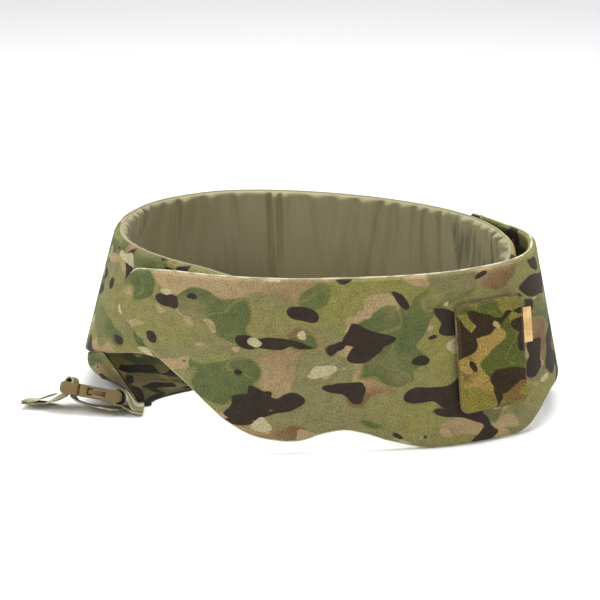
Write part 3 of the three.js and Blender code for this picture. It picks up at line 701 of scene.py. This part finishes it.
def woven_tape(name, light, dark, fineness=650):
    """Webbing and tape: ribs across its width and mottled threads."""
    recipe = Recipe(name)
    mottle = recipe.step(recipe.noise(recipe.cloth_place((1, 1.6, 1)), 48, 2.0, 0.5), 0.46, 0.54)
    base = recipe.mix(mottle, linear(*light), linear(*dark))
    rib = recipe.ribs(recipe.cloth_place(), fineness, Distortion=0.6)
    grain = recipe.noise(recipe.cloth_place(), 1300, 2.0, 0.7)
    toned = recipe.shade(base, grain, 0.3, 0.7, 0.82, 1.15)
    normal = recipe.bump(recipe.math("ADD", rib, grain), 0.5, 0.0004)
    return recipe.finish(toned, 0.8, normal, 0.1, specular=0.3)


def moulded_plastic():
    recipe = Recipe("coyote_acetal")
    place = recipe.add("TexCoord").outputs["Object"]
    cloud = recipe.noise(place, 60, 3.0, 0.6)
    base = recipe.mix(cloud, linear(100, 82, 44), linear(124, 104, 62))
    grain = recipe.noise(place, 2400, 2.0, 0.6)
    normal = recipe.bump(grain, 0.25, 0.00015)
    rough = recipe.add("MapRange", {"Value": cloud, "To Min": 0.36, "To Max": 0.52}).outputs[0]
    return recipe.finish(base, rough, normal)


def touch_tape(name, dark, light, hooks_per_m):
    """One half of hook-and-loop tape: rows of hooks, or a nap of loops, on a woven ground."""
    recipe = Recipe(name)
    place = recipe.add("TexCoord").outputs["Object"]
    inputs = {"Vector": place, "Scale": hooks_per_m}
    stubs = recipe.add("TexVoronoi", inputs, feature="SMOOTH_F1").outputs[0]
    fuzz = recipe.noise(place, hooks_per_m * 1.6, 2.0, 0.7)
    height = recipe.math("SUBTRACT", fuzz, stubs)
    base = recipe.mix(recipe.step(height, -0.2, 0.5), linear(*dark), linear(*light))
    return recipe.finish(base, 0.9, recipe.bump(height, 0.9, 0.0008), 0.15)


def thread(name, colour):
    recipe = Recipe(name)
    place = recipe.add("TexCoord").outputs["Object"]
    strand = recipe.noise(place, 2500, 2.0, 0.6)
    shade = recipe.mix(strand, colour, (colour[0] * 0.6, colour[1] * 0.6, colour[2] * 0.6, 1))
    return recipe.finish(shade, 0.6, recipe.bump(strand, 0.4, 0.0002), 0.2)


CAMO_BODY = camo_cloth("camo_body", (0.4, 1.3, 0), 1.0)
CAMO_PANEL = camo_cloth("camo_panel", (3.7, 2.6, 0), 1.0)
# The tail's cloth and casing carry painted shade, darkened to about a third, for the shadow under the
# body's hem
CAMO_TAIL_PAINTED_SHADE = camo_cloth("camo_tail_painted_shade", (8.1, 6.2, 0), 0.95, 0.8, 0.02, 0.34)
CAMO_EDGE = woven_tape("camo_edge", (150, 143, 110), (128, 120, 88), 900)
PALE_EDGE = woven_tape("pale_edge", (206, 199, 172), (168, 160, 130), 900)
# The three linings differ in how strong their painted fold shade is and in its slant
OLIVE = olive_lining("olive_lining", 0.12, -0.1)
OLIVE_LEFT = olive_lining("olive_lining_left", 0.4, 0.05)
OLIVE_RIGHT = olive_lining("olive_lining_right", 0.7, 0.42)
PILE = loop_pile()
PATCH_CLOTH = woven_tape("patch_edge", (118, 98, 56), (92, 76, 44), 900)
WEBBING_CLOTH = woven_tape("pale_webbing", (184, 177, 144), (122, 119, 84))
PLASTIC = moulded_plastic()
LABEL_CLOTH = woven_tape("gold_label", (226, 192, 132), (208, 170, 104), 1500)
LOOP_TAPE = touch_tape("olive_loop_tape", (82, 78, 50), (122, 116, 82), 800)
HOOK_TAPE = touch_tape("coyote_hook_tape", (92, 76, 46), (140, 118, 78), 600)
CREAM_THREAD = thread("cream_thread", linear(196, 186, 148))
OLIVE_THREAD = thread("olive_thread", linear(92, 82, 48))


def dress(piece, material, body=None, replaced=()):
    """Gives a piece its material and the body it rides on, and hides the CAD nodes it replaces."""
    piece.data.materials.clear()
    piece.data.materials.append(material)
    if replaced:
        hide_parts(*replaced)
    if body:
        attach(piece, body)
    return piece


def dress_node(name, material):
    """A CAD node that stays keeps its shape and gets a finished material."""
    dress(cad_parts[name], material)


# ---------- the padded body ----------
SHELL_CLOTH = 0.0011
LINING_CLOTH = 0.0008
SEAM_PULL = 2.4
SEAM_OVERLAP = 0.5
PIPING = 0.0013  # radius of the cord in the body's edges
STITCH_FALL = 8.5  # below the rim
STITCH_SPACING = 3.4
STITCH_HALF = 1.2
# Each lining, from left to right: its name, the CAD node it replaces, its relief and its cloth.
LININGS = [
    ("lining_left_ruched", "lining_left_gathered", gathered_relief, OLIVE_LEFT),
    ("lining_back_creased", "lining_back", lining_relief, OLIVE),
    ("lining_right_ruched", "lining_right_gathered", gathered_relief, OLIVE_RIGHT),
]
SEAMS = (BODY_ENDS[0], *LINING_SEAMS, BODY_ENDS[1])


def body_middle(stations, z):
    return wall(stations, z, -BODY_THICKNESS / 2)


def add_body():
    shell = body_half("body_shell", *BODY_ENDS, 1, outer_relief, SHELL_STEP)
    thicken(shell, SHELL_CLOTH, -1)
    dress(shell, CAMO_BODY, "wrap", ["body_cover", "body_padding"])
    for (name, node, relief, cloth), start, end in zip(LININGS, SEAMS, SEAMS[1:]):
        def inward(station, z, relief=relief, start=start, end=end):
            edge = np.clip(np.minimum(station - start, end - station), 0, None)
            pulled = SEAM_PULL * np.exp(-edge / 3.0)
            return relief(station, z) * np.clip(edge / 6, 0, 1) - pulled
        ends = np.clip((start - SEAM_OVERLAP, end + SEAM_OVERLAP), *BODY_ENDS)
        lining = body_half(name, *ends, -1, inward, LINING_STEP)
        thicken(lining, LINING_CLOTH, -1)
        dress(lining, cloth, "wrap", [node])
    stations = np.linspace(*BODY_ENDS, 460)
    rim = tube("rim_piping", body_middle(stations, body_top(stations) - 0.2), PIPING)
    dress(rim, OLIVE, "wrap", ["body_rim_binding"])
    hem_line = body_middle(stations, smooth(BODY_HEM, np.abs(stations)) - 1.3)
    hem = tube("hem_piping", hem_line, PIPING)
    dress(hem, CAMO_EDGE, "wrap", ["body_hem_binding"])


def add_lining_stitches():
    """Rows of stitches a little under the rim of the two gathered linings."""
    for name, start, end in (("left", *SEAMS[:2]), ("right", *SEAMS[2:])):
        spots = np.arange(start + 6, end - 6, STITCH_SPACING)
        level = body_top(spots) - STITCH_FALL

        def on_lining(stations):
            height = np.full_like(stations, RIM_HEIGHT - STITCH_FALL)
            relief = gathered_relief(stations, height)
            return wall(stations, level, -BODY_THICKNESS - relief - 0.1)

        ahead = on_lining(spots + STITCH_HALF)
        behind = on_lining(spots - STITCH_HALF)
        face = wall(spots, level, -BODY_THICKNESS)
        inward = unit(wall(spots, level, -BODY_THICKNESS - 1) - face)
        row = stitch_row("lining_stitches_" + name, behind, ahead, inward, 0.0003)
        dress(row, CREAM_THREAD, "wrap")


# ---------- the front panel ----------
PANEL_EDGE = 3.2  # radius of its rounded edges
PANEL_PIPING = 0.0011


def panel_outline(stations):
    """The heights of the panel's lower and upper edges, with a rounded tip."""
    low = smooth(PANEL_HEM, stations)
    high = smooth(PANEL_TOP, stations)
    into = np.clip((stations - TIP_START) / (PANEL_ENDS[1] - TIP_START), 0, 1)
    round_off = np.sqrt(np.clip(1 - into ** 2.2, 0, 1))
    low = np.where(into > 0, TIP_MIDDLE - (TIP_MIDDLE - low) * round_off, low)
    high = np.where(into > 0, TIP_MIDDLE + (high - TIP_MIDDLE) * round_off, high)
    return low, high


def panel_stations():
    """Stations along the panel, closer together round its tip."""
    straight = np.arange(PANEL_ENDS[0], TIP_START, 2.6)
    turn = np.linspace(0, math.pi / 2, 22)
    tip = TIP_START + (PANEL_ENDS[1] - TIP_START) * np.sin(turn)
    return np.concatenate([straight, tip[:-1], [PANEL_ENDS[1] - 0.05]])


def panel_relief(station, z):
    return 0.30 * ripple(station + 0.3 * z, 41, 120) + 0.15 * ripple(z, 43, 50)


def add_panel():
    stations = panel_stations()
    low, high = panel_outline(stations)
    edge = np.minimum(PANEL_EDGE, (high - low) / 2.05)
    z, depth = pad_half(stations, low, high, edge, 34)
    s = np.broadcast_to(stations[:, None], z.shape)
    stand = smooth(STAND_OFF, stations)[:, None]
    ends = np.clip((PANEL_ENDS[1] - stations) / 3, 0.12, 1)[:, None] ** 0.5
    half = PANEL_THICKNESS / 2 * ends
    middle = stand + PANEL_THICKNESS / 2
    outer = middle + half * depth + panel_relief(s, z) * depth ** 2
    inner = middle - half * depth
    grid = np.concatenate([wall(s, z, outer), wall(s, z, inner)[:, ::-1][:, 1:-1]], axis=1)
    back = 2 * high[:, None] - z[:, ::-1][:, 1:-1]
    columns = np.concatenate([z, back, z[:, :1] + 400], axis=1)
    u = np.broadcast_to(stations[:, None], columns.shape)
    uv = np.stack([u * MM, columns * MM], axis=-1)
    panel = grid_piece("front_panel_pad", grid, uv, closed=True, capped=True)
    stands_for = ["panel_cover", "panel_inner_face", "panel_fixed_end", "panel_padding"]
    dress(panel, CAMO_PANEL, None, stands_for)
    edge_s = np.concatenate([stations, stations[::-1]])
    edge_z = np.concatenate([low - 0.2, high[::-1] + 0.2])
    edge_out = smooth(STAND_OFF, edge_s) + PANEL_THICKNESS / 2
    piping = tube("panel_piping", wall(edge_s, edge_z, edge_out), PANEL_PIPING)
    dress(piping, PALE_EDGE, None, ["panel_binding"])
    start = wall(np.array([PANEL_FLEX - 14.0]), 80, 12)[0]
    end = wall(np.array([PANEL_FLEX + 20.0]), 80, 12)[0]
    for piece in (panel, piping):
        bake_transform(piece)


# ---------- the tail ----------
TAIL_CLOTH = 0.0014
TAIL_STATIONS = np.linspace(-TAIL_END, TAIL_END, 300)
TAIL_SHARES = np.linspace(0, 1, 40)
TAIL_RUN = 75  # the cloth's depth that the folds' places are measured on
TAIL_STRIP = 62  # the bound strip down the tail's left front edge
STRIP_CLOTH = 0.0008
STRIP_LIFT = 1.6
CASING = 0.0046  # half its width
# The tail's sharp folds near its front edges: (station, run down the cloth) of both ends, then
# the fold's height and half width.
TAIL_FOLDS = [
    ((-327, 3), (-304, 54), 8.5, 4.5), ((-314, 3), (-280, 40), -3.5, 4),
    ((-300, 20), (-258, 28), 8.0, 4), ((-282, 46), (-236, 32), 6.5, 5),
    ((-262, 10), (-232, 60), -3.5, 5), ((322, 6), (290, 48), 5.5, 5),
]


def tail_depth(station):
    """How far the tail reaches in under the body, at stations along it."""
    rise = np.clip((TAIL_END - np.abs(station)) / TAIL_CORNER_RISE, 0, 1)
    return TAIL_DEPTH_SIDE + (TAIL_DEPTH_BACK - TAIL_DEPTH_SIDE) * ease(rise)


def foot_point(station, inward, z):
    """Points on the floor plan's foot line, moved towards the middle, at a height z."""
    foot = wall_raw(station, 0, 0)
    length = np.linalg.norm(foot[..., :2], axis=-1, keepdims=True)
    foot[..., :2] *= (length - np.asarray(inward)[..., None]) / length
    foot[..., 2] = z
    return foot


def tail_grid(stations, shares):
    """The tail's smooth surface: from the body's hem it bends under, to its free edge."""
    s = stations[:, None]
    hem = wall_raw(s, smooth(BODY_HEM, np.abs(s)) - 2.6, -5)
    edge = foot_point(s, tail_depth(s), TAIL_THICKNESS * 0.55)
    below = wall_raw(s, 0, -2)
    below[..., 2] = TAIL_THICKNESS * 0.55
    full = ease(np.clip((TAIL_END - np.abs(s)) / 60, 0, 1))[..., None]
    straight = (hem + edge) / 2
    middle = straight + (below - straight) * full
    v = shares[None, :, None]
    return hem * (1 - v) ** 2 + middle * 2 * v * (1 - v) + edge * v ** 2


def fold_height(s, run, start, end, height, width):
    """A ridge or groove with one steep side, along a line on the cloth."""
    along = np.array(end, float) - start
    length = np.linalg.norm(along)
    along /= length
    ds = s - start[0]
    dr = run - start[1]
    there = np.clip((ds * along[0] + dr * along[1]) / length, 0, 1)
    off = (ds * -along[1] + dr * along[0]) / width
    inside = np.sin(np.pi * np.clip(0.08 + 0.84 * there, 0, 1)) ** 0.7
    beyond = np.exp(-(((ds * along[0] + dr * along[1]) / length - there) * length / 6) ** 2)
    return height * inside * beyond * np.exp(-np.abs(off) ** np.where(off > 0, 1.1, 2.2))


def add_tail_cloth():
    points = tail_grid(TAIL_STATIONS, TAIL_SHARES)
    s, v = np.meshgrid(TAIL_STATIONS, TAIL_SHARES, indexing="ij")
    waves = 1.6 * ripple(s + 30 * v, 51, 34, 4) + 0.8 * ripple(s - 60 * v, 53, 17, 4)
    points[..., 2] += np.clip(np.sin(np.pi * v) * waves, -1.0, 3.2) * np.clip(v * 6, 0, 1)
    for start, end, height, width in TAIL_FOLDS:
        points[..., 2] += fold_height(s, TAIL_RUN * v, start, end, height, width)
    points[..., 2] = np.maximum(points[..., 2], 0.75)
    grid = (points + SHIFT) * MM
    steps = np.linalg.norm(np.diff(grid, axis=1, prepend=grid[:, :1]), axis=-1)
    uv = np.stack([s * MM, np.cumsum(steps, axis=1)], axis=-1)
    tail = grid_piece("tail_cloth", grid, uv)
    thicken(tail, TAIL_CLOTH, 0)
    dress(tail, CAMO_TAIL_PAINTED_SHADE, "wrap", ["tail_panel"])


def add_tail_strip():
    stations = np.linspace(-TAIL_END - 0.4, -TAIL_END + TAIL_STRIP, 16)
    strip = tail_grid(stations, TAIL_SHARES)
    strip += unit(strip - foot_point(stations[:, None], 150, 60)) * STRIP_LIFT
    strip[..., 2] = np.maximum(strip[..., 2], 0.6)
    uv = np.stack(np.meshgrid(stations, TAIL_SHARES * TAIL_RUN, indexing="ij"), axis=-1) * MM
    edging = grid_piece("tail_edge_strip", (strip + SHIFT) * MM, uv)
    thicken(edging, STRIP_CLOTH, 0)
    # The strip keeps the body's cloth without painted shade, where light falls on the tail's outer side
    dress(edging, CAMO_BODY, "wrap")


def add_tail_casing():
    near = tail_depth(TAIL_STATIONS) + 5
    hem_line = (foot_point(TAIL_STATIONS, near, 2.0) + SHIFT) * MM
    casing = tube("tail_casing", hem_line, CASING, sides=12, flatten=0.42)
    dress(casing, CAMO_TAIL_PAINTED_SHADE, "wrap", ["tail_hem_casing"])


# ---------- patch and label ----------
PATCH_WIDTH = 78
PATCH_HEIGHT = 105
PATCH_CORNER = 9
PATCH_STATION = 425
PATCH_BOTTOM = 31
PATCH_STAND = 1.6
PATCH_BACKING = 2
PATCH_PILE = 1.4
PATCH_MARGIN = 3.5
LABEL = (10, 34, 0.8)
LABEL_DROP = 14
PILE_TUFTS = 3600


def patch_frame():
    """On the panel's face: x to the right along the wall, y up it, z outward."""
    z = PATCH_BOTTOM + PATCH_HEIGHT / 2
    reach = 30
    stations = np.array([PATCH_STATION - reach, PATCH_STATION, PATCH_STATION + reach])
    right, here, left = wall(stations, z, smooth(STAND_OFF, stations) + PANEL_THICKNESS)
    face = smooth(STAND_OFF, PATCH_STATION) + PANEL_THICKNESS
    low, high = wall(PATCH_STATION, np.array([z - 20, z + 20]), face)
    along = Vector(right - left).normalized()
    outward = along.cross(Vector(high - low)).normalized()
    square = outward.cross(along)
    turn = Matrix((along, square, outward)).transposed().to_4x4()
    return Matrix.Translation(Vector(here)) @ turn


def block(name, size, place, edge, corner=0.0):
    """A block in millimetres: its upright corners are rounded by corner, then every edge by
    edge."""
    bpy.ops.object.select_all(action="DESELECT")
    bpy.ops.mesh.primitive_cube_add(size=MM)
    piece = bpy.context.object
    piece.name = name
    bpy.ops.object.mode_set(mode="EDIT")
    bpy.ops.mesh.select_all(action="SELECT")
    bpy.ops.transform.resize(value=size)
    if corner:
        bpy.ops.mesh.select_mode(type="EDGE")
        bpy.ops.mesh.select_all(action="DESELECT")
        shape = bmesh.from_edit_mesh(piece.data)
        for line in shape.edges:
            span = line.verts[0].co - line.verts[1].co
            line.select_set(abs(span.z) > 0.9 * span.length)
        bmesh.update_edit_mesh(piece.data)
        bpy.ops.mesh.bevel(offset=corner * MM, segments=6, affect="EDGES")
    bpy.ops.mesh.select_all(action="SELECT")
    bpy.ops.transform.translate(value=Vector(place) * MM)
    bpy.ops.object.mode_set(mode="OBJECT")
    round_edges(piece, edge * MM, 0.6)
    return piece


def smooth_by_angle(piece, angle):
    select_only(piece)
    bpy.ops.object.shade_smooth_by_angle(angle=angle)


def round_edges(piece, width, sharpest):
    """Rounds every edge that bends by more than an angle."""
    settings = {"limit_method": "ANGLE", "angle_limit": sharpest}
    use_modifier(piece, "BEVEL", width=width, segments=3, **settings)


def settle(piece, matrix):
    """Takes the cloth's own place from the piece's x and y, then puts the piece in place."""
    layer = piece.data.uv_layers.new(name="Cloth")
    for loop in piece.data.loops:
        layer.data[loop.index].uv = piece.data.vertices[loop.vertex_index].co.xy
    piece.data.transform(matrix)
    piece.data.shade_smooth()
    smooth_by_angle(piece, 0.7)


def rounded_path(width, height, corner, spacing):
    """The starts and ends of stitches, spacing millimetres apart round a rounded rectangle."""
    corners = []
    for cx, cy, start in ((1, 1, 0), (-1, 1, 90), (-1, -1, 180), (1, -1, 270)):
        for i in range(9):
            a = math.radians(start + i * 90 / 8)
            x = cx * (width / 2 - corner) + corner * math.cos(a)
            y = cy * (height / 2 - corner) + corner * math.sin(a)
            corners.append((x, y))
    corners.append(corners[0])
    line = np.array(corners)
    steps = lengths_along(line)
    count = int(steps[-1] / spacing)
    at = np.arange(count) * steps[-1] / count

    def sample(where):
        where = np.mod(where, steps[-1])
        return np.stack([np.interp(where, steps, line[:, k]) for k in (0, 1)], axis=-1)

    return sample(at - spacing * 0.36), sample(at + spacing * 0.36)


def shaft_faces(base, rings, sides):
    """The faces of a closed shaft, whose rings of points start at number base."""
    faces = []
    for r in range(rings - 1):
        low = base + r * sides
        for k in range(sides):
            n = (k + 1) % sides
            faces.append((low + k, low + n, low + sides + n, low + sides + k))
    faces.append(tuple(base + k for k in reversed(range(sides))))
    faces.append(tuple(base + (rings - 1) * sides + k for k in range(sides)))
    return faces


def stitch_row(name, starts, ends, normals, radius):
    """Sewn stitches: one short rounded stroke of thread between each start and end, in metres."""
    points = []
    faces = []
    rings = ((0.0, 0.25, -0.5), (0.2, 1.0, 0.4), (0.8, 1.0, 0.4), (1.0, 0.25, -0.5))
    sides = 6
    for start, end, normal in zip(starts, ends, normals):
        along = (end - start) / np.linalg.norm(end - start)
        side = np.cross(along, normal)
        base = len(points)
        for share, width, rise in rings:
            middle = start + (end - start) * share + normal * radius * rise
            for k in range(sides):
                a = k / sides * 2 * math.pi
                outward = side * math.cos(a) + normal * math.sin(a)
                points.append(middle + outward * radius * width)
        faces += shaft_faces(base, len(rings), sides)
    row = mesh_piece(name, points, faces)
    turn_faces_out(row)
    return row


def add_patch():
    place = patch_frame()
    backing = block(
        "patch_backing_pad", (PATCH_WIDTH, PATCH_HEIGHT, PATCH_BACKING),
        (0, 0, PATCH_STAND + PATCH_BACKING / 2), 0.7, PATCH_CORNER,
    )
    settle(backing, place)
    dress(backing, PATCH_CLOTH, "front_panel", ["patch_backing"])
    wide = PATCH_WIDTH - 2 * PATCH_MARGIN
    tall = PATCH_HEIGHT - 2 * PATCH_MARGIN
    base = PATCH_STAND + PATCH_BACKING - 0.1
    field = block(
        "patch_pile_field", (wide + 4.4, tall + 4.4, PATCH_PILE * 0.7),
        (0, 0, base + PATCH_PILE * 0.35), 0.45, PATCH_CORNER - 1.5,
    )
    settle(field, place)
    dress(field, PILE, "front_panel", ["patch_loop_pile"])
    tufts = pile_tufts(wide - 0.6, tall - 0.6, PATCH_CORNER - PATCH_MARGIN, base + PATCH_PILE * 0.55)
    tufts.data.transform(place)
    dress(tufts, PILE, "front_panel")
    starts, ends = rounded_path(wide + 1.4, tall + 1.4, PATCH_CORNER - 3, 3.1)
    level = base + PATCH_PILE * 0.7

    def lift(points):
        return np.array([place @ Vector((x * MM, y * MM, level * MM)) for x, y in points])

    normal = np.array(place.to_3x3() @ Vector((0, 0, 1)))
    row = stitch_row("patch_stitches", lift(starts), lift(ends), [normal] * len(starts), 0.00034)
    dress(row, OLIVE_THREAD, "front_panel")
    width, height, thick = LABEL
    beside = PATCH_WIDTH / 2 + width / 2 + 0.3
    middle = PATCH_HEIGHT / 2 - height / 2 - LABEL_DROP
    label = block("gold_side_label", LABEL, (beside, middle, PATCH_STAND + thick / 2), 0.3)
    settle(label, place)
    dress(label, LABEL_CLOTH, "front_panel", ["side_label"])


def pile_tufts(width, height, corner, level):
    """The loop pile's fuzz: small bent threads that stand on the patch, in millimetres."""
    random = np.random.RandomState(5)
    points = []
    faces = []
    uvs = []
    for _ in range(PILE_TUFTS):
        x, y = random.uniform(-0.5, 0.5, 2) * (width, height)
        past = np.maximum(np.abs((x, y)) - (width / 2 - corner, height / 2 - corner), 0)
        if np.hypot(*past) > corner:
            continue
        lean = random.uniform(0, 2 * math.pi)
        reach = random.uniform(0.5, 1.1)
        tall = random.uniform(0.45, 0.95)
        thick = random.uniform(0.13, 0.22)
        base = len(points)
        for share, rise in ((0.0, 0.0), (0.35, 1.0), (0.8, 0.9), (1.0, 0.1)):
            cx = x + math.cos(lean) * reach * share
            cy = y + math.sin(lean) * reach * share
            for k in range(3):
                a = k / 3 * 2 * math.pi
                side = math.cos(a) * thick
                points.append((
                    (cx - math.sin(lean) * side) * MM,
                    (cy + math.cos(lean) * side) * MM,
                    (level + tall * rise + math.sin(a) * thick) * MM,
                ))
        own = shaft_faces(base, 4, 3)
        faces += own
        uvs += [(x * MM, y * MM)] * sum(len(face) for face in own)
    tufts = mesh_piece("patch_pile_tufts", points, faces, uvs)
    turn_faces_out(tufts)
    return tufts


# ---------- buckle and webbing ----------
WEBBING = 25
WEBBING_THICKNESS = 1.5
BUCKLE_THICKNESS = 12
SOCKET_LENGTH = 43
BUCKLE_PLACE = (-17.5, -10.7, 13.58)  # from the corner that strap_corner gives
BUCKLE_YAW = 172
BUCKLE_PITCH = 8
BUCKLE_ROLL = 22
SLOT_A = SOCKET_LENGTH + 7
SLOT_B = SOCKET_LENGTH + 14.8
SOCKET_BAR = 6.1
HALF_THICK = BUCKLE_THICKNESS / 2
CORNER_CLEARANCE = 1.4  # between the strap and the tail
STRAP_STEPS = 7
# The webbing's section, as shares of its width and of half its thickness.
WEBBING_OUTLINE = [
    (-0.5, -0.5), (-0.49, -1), (0.49, -1), (0.5, -0.5), (0.5, 0.5), (0.49, 1), (-0.49, 1), (-0.5, 0.5),
]


def turned(degrees, axis):
    return Matrix.Rotation(math.radians(degrees), 4, axis)


def strap_corner():
    """The tail's front left corner, moved across the strap by the clearance."""
    corner = Vector(foot_point(np.array([-TAIL_END]), np.array([TAIL_DEPTH_SIDE]), 0)[0])
    return corner + turned(BUCKLE_YAW, "Z") @ Vector((0, CORNER_CLEARANCE, 0))


def buckle_frame():
    turn = turned(BUCKLE_YAW, "Z") @ turned(-BUCKLE_PITCH, "Y") @ turned(BUCKLE_ROLL, "X")
    return Matrix.Translation(Vector(BUCKLE_PLACE) + strap_corner()) @ turn


def route(points):
    """The webbing's route in the plan, with its tilt. Each point is given as x and y from the
    corner, z and tilt, or as x along the buckle and z above the buckle's middle."""
    corner = strap_corner()
    line = []
    for point in points:
        if len(point) == 2:
            x, z = point
            line.append((*(buckle_frame() @ Vector((x, 0, z))), BUCKLE_ROLL))
        else:
            x, y, z, tilt = point
            line.append((corner.x + x, corner.y + y, z, tilt))
    return line


def open_curve(points):
    """A smooth open line through the points."""
    points = [np.array(p, float) for p in points]
    whole = [2 * points[0] - points[1], *points, 2 * points[-1] - points[-2]]
    line = []
    for i in range(len(points) - 1):
        for j in range(STRAP_STEPS):
            line.append(curve_point(whole[i:i + 4], j / STRAP_STEPS))
    line.append(points[-1])
    return np.array(line)


def ribbon(name, points, yaw):
    """Woven webbing along a route."""
    line = open_curve(route(points))
    path = line[:, :3]
    ahead = unit(np.gradient(path, axis=0))
    tilt = np.radians(line[:, 3])[:, None]
    level = np.array([-math.sin(yaw), math.cos(yaw), 0])
    across = level * np.cos(tilt) - np.array([0, 0, 1]) * np.sin(tilt)
    across = unit(across - ahead * (across * ahead).sum(1, keepdims=True))
    face = np.cross(ahead, across) * WEBBING_THICKNESS / 2
    section = [across * a * WEBBING + face * b for a, b in WEBBING_OUTLINE]
    grid = np.stack([path + p for p in section], axis=1)
    run = lengths_along(path) * MM
    cross = np.array([a * WEBBING * MM for a, _ in WEBBING_OUTLINE + WEBBING_OUTLINE[:1]])
    uv = np.stack(np.broadcast_arrays(run[:, None], cross[None]), axis=-1)
    piece = grid_piece(name, (grid + SHIFT) * MM, uv, closed=True, capped=True)
    smooth_by_angle(piece, 0.9)
    return piece


def moulded(name, node, body, edge=0.0007):
    """A moulded copy of a CAD piece, with its doubles merged and its edges rounded."""
    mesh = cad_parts[node].data.copy()
    piece = bpy.data.objects.new(name, mesh)
    bpy.context.scene.collection.objects.link(piece)
    shape = bmesh.new()
    shape.from_mesh(mesh)
    bmesh.ops.remove_doubles(shape, verts=shape.verts, dist=1e-6)
    bmesh.ops.dissolve_limit(shape, angle_limit=0.02, verts=shape.verts, edges=shape.edges)
    bmesh.ops.recalc_face_normals(shape, faces=shape.faces)
    shape.to_mesh(mesh)
    shape.free()
    round_edges(piece, edge, 0.5)
    smooth_by_angle(piece, 0.6)
    dress(piece, PLASTIC, body, [node])


def add_buckle():
    moulded("socket_moulding", "buckle_socket", "strap")
    moulded("plug_moulding", "buckle_plug", "plug")
    moulded("near_latch_moulding", "latch_arm_near", "near_arm", 0.0005)
    moulded("far_latch_moulding", "latch_arm_far", "far_arm", 0.0005)


def add_webbing():
    yaw = math.radians(BUCKLE_YAW - 180)
    turn = HALF_THICK + WEBBING_THICKNESS
    adjusting = [
        (-19.5, -16.7, 4.4, 14), (-28, -15.2, 4.4, 14),
        (-36.5, -12.7, 4.8, 16), (-49.5, -9.7, 5.9, 19),
        (SLOT_A - 4, -turn - 2.5), (SLOT_A, -HALF_THICK), (SLOT_A, 0),
        (SLOT_A, HALF_THICK + 0.5), (SLOT_A + 1.6, turn + 2.5),
        ((SLOT_A + SLOT_B) / 2, turn + 3.5), (SLOT_B - 1.6, turn + 2.5),
        (SLOT_B, HALF_THICK + 0.5), (SLOT_B, 0), (SLOT_B, -HALF_THICK),
        (SLOT_B + 5, -turn - 3), (-91.5, 1.3, 5.3, 16),
        (-104.5, 3.3, 4.2, 13), (-117.5, 5.3, 3.9, 12),
    ]
    folded = [
        (-117.5, 5.3, 6.1, 12), (-105.5, 3.3, 6.7, 13),
        (-95.5, 2.3, 10.2, 16), (-88.5, 1.3, 13.2, 17),
    ]
    anchor = [
        (2.5, -15.7, 5.6, 0), (-5.5, -15.7, 7, 4),
        (-3, HALF_THICK - 0.5), (1, turn + 0.1),
        (SOCKET_BAR - 1, turn - 0.1), (SOCKET_BAR, HALF_THICK - 2),
        (SOCKET_BAR, 2 - HALF_THICK), (SOCKET_BAR - 1, 0.1 - turn),
        (1, -turn - 0.1), (-5.5, -15.7, 4.2, 3), (2.5, -15.7, 3.6, 0),
    ]
    strap = ribbon("adjusting_webbing", adjusting, yaw)
    dress(strap, WEBBING_CLOTH, "plug", ["adjusting_strap"])
    end = ribbon("folded_webbing_end", folded, yaw)
    dress(end, WEBBING_CLOTH, "plug", ["strap_folded_end"])
    loop = ribbon("anchor_loop", anchor, yaw)
    dress(loop, WEBBING_CLOTH, None, ["anchor_webbing"])
    (*fixed, _), = route([(3.5, -15.7, 5, 0)])
    fixed = (Vector(fixed) + Vector(SHIFT)) * MM
    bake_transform(loop)


add_view()
add_studio()
add_body()
add_lining_stitches()
add_panel()
add_tail_cloth()
add_tail_strip()
add_tail_casing()
add_patch()
add_buckle()
add_webbing()
for side in ("left", "right"):
    dress_node(side + "_loop_field", LOOP_TAPE)
    dress_node(side + "_hook_field", HOOK_TAPE)
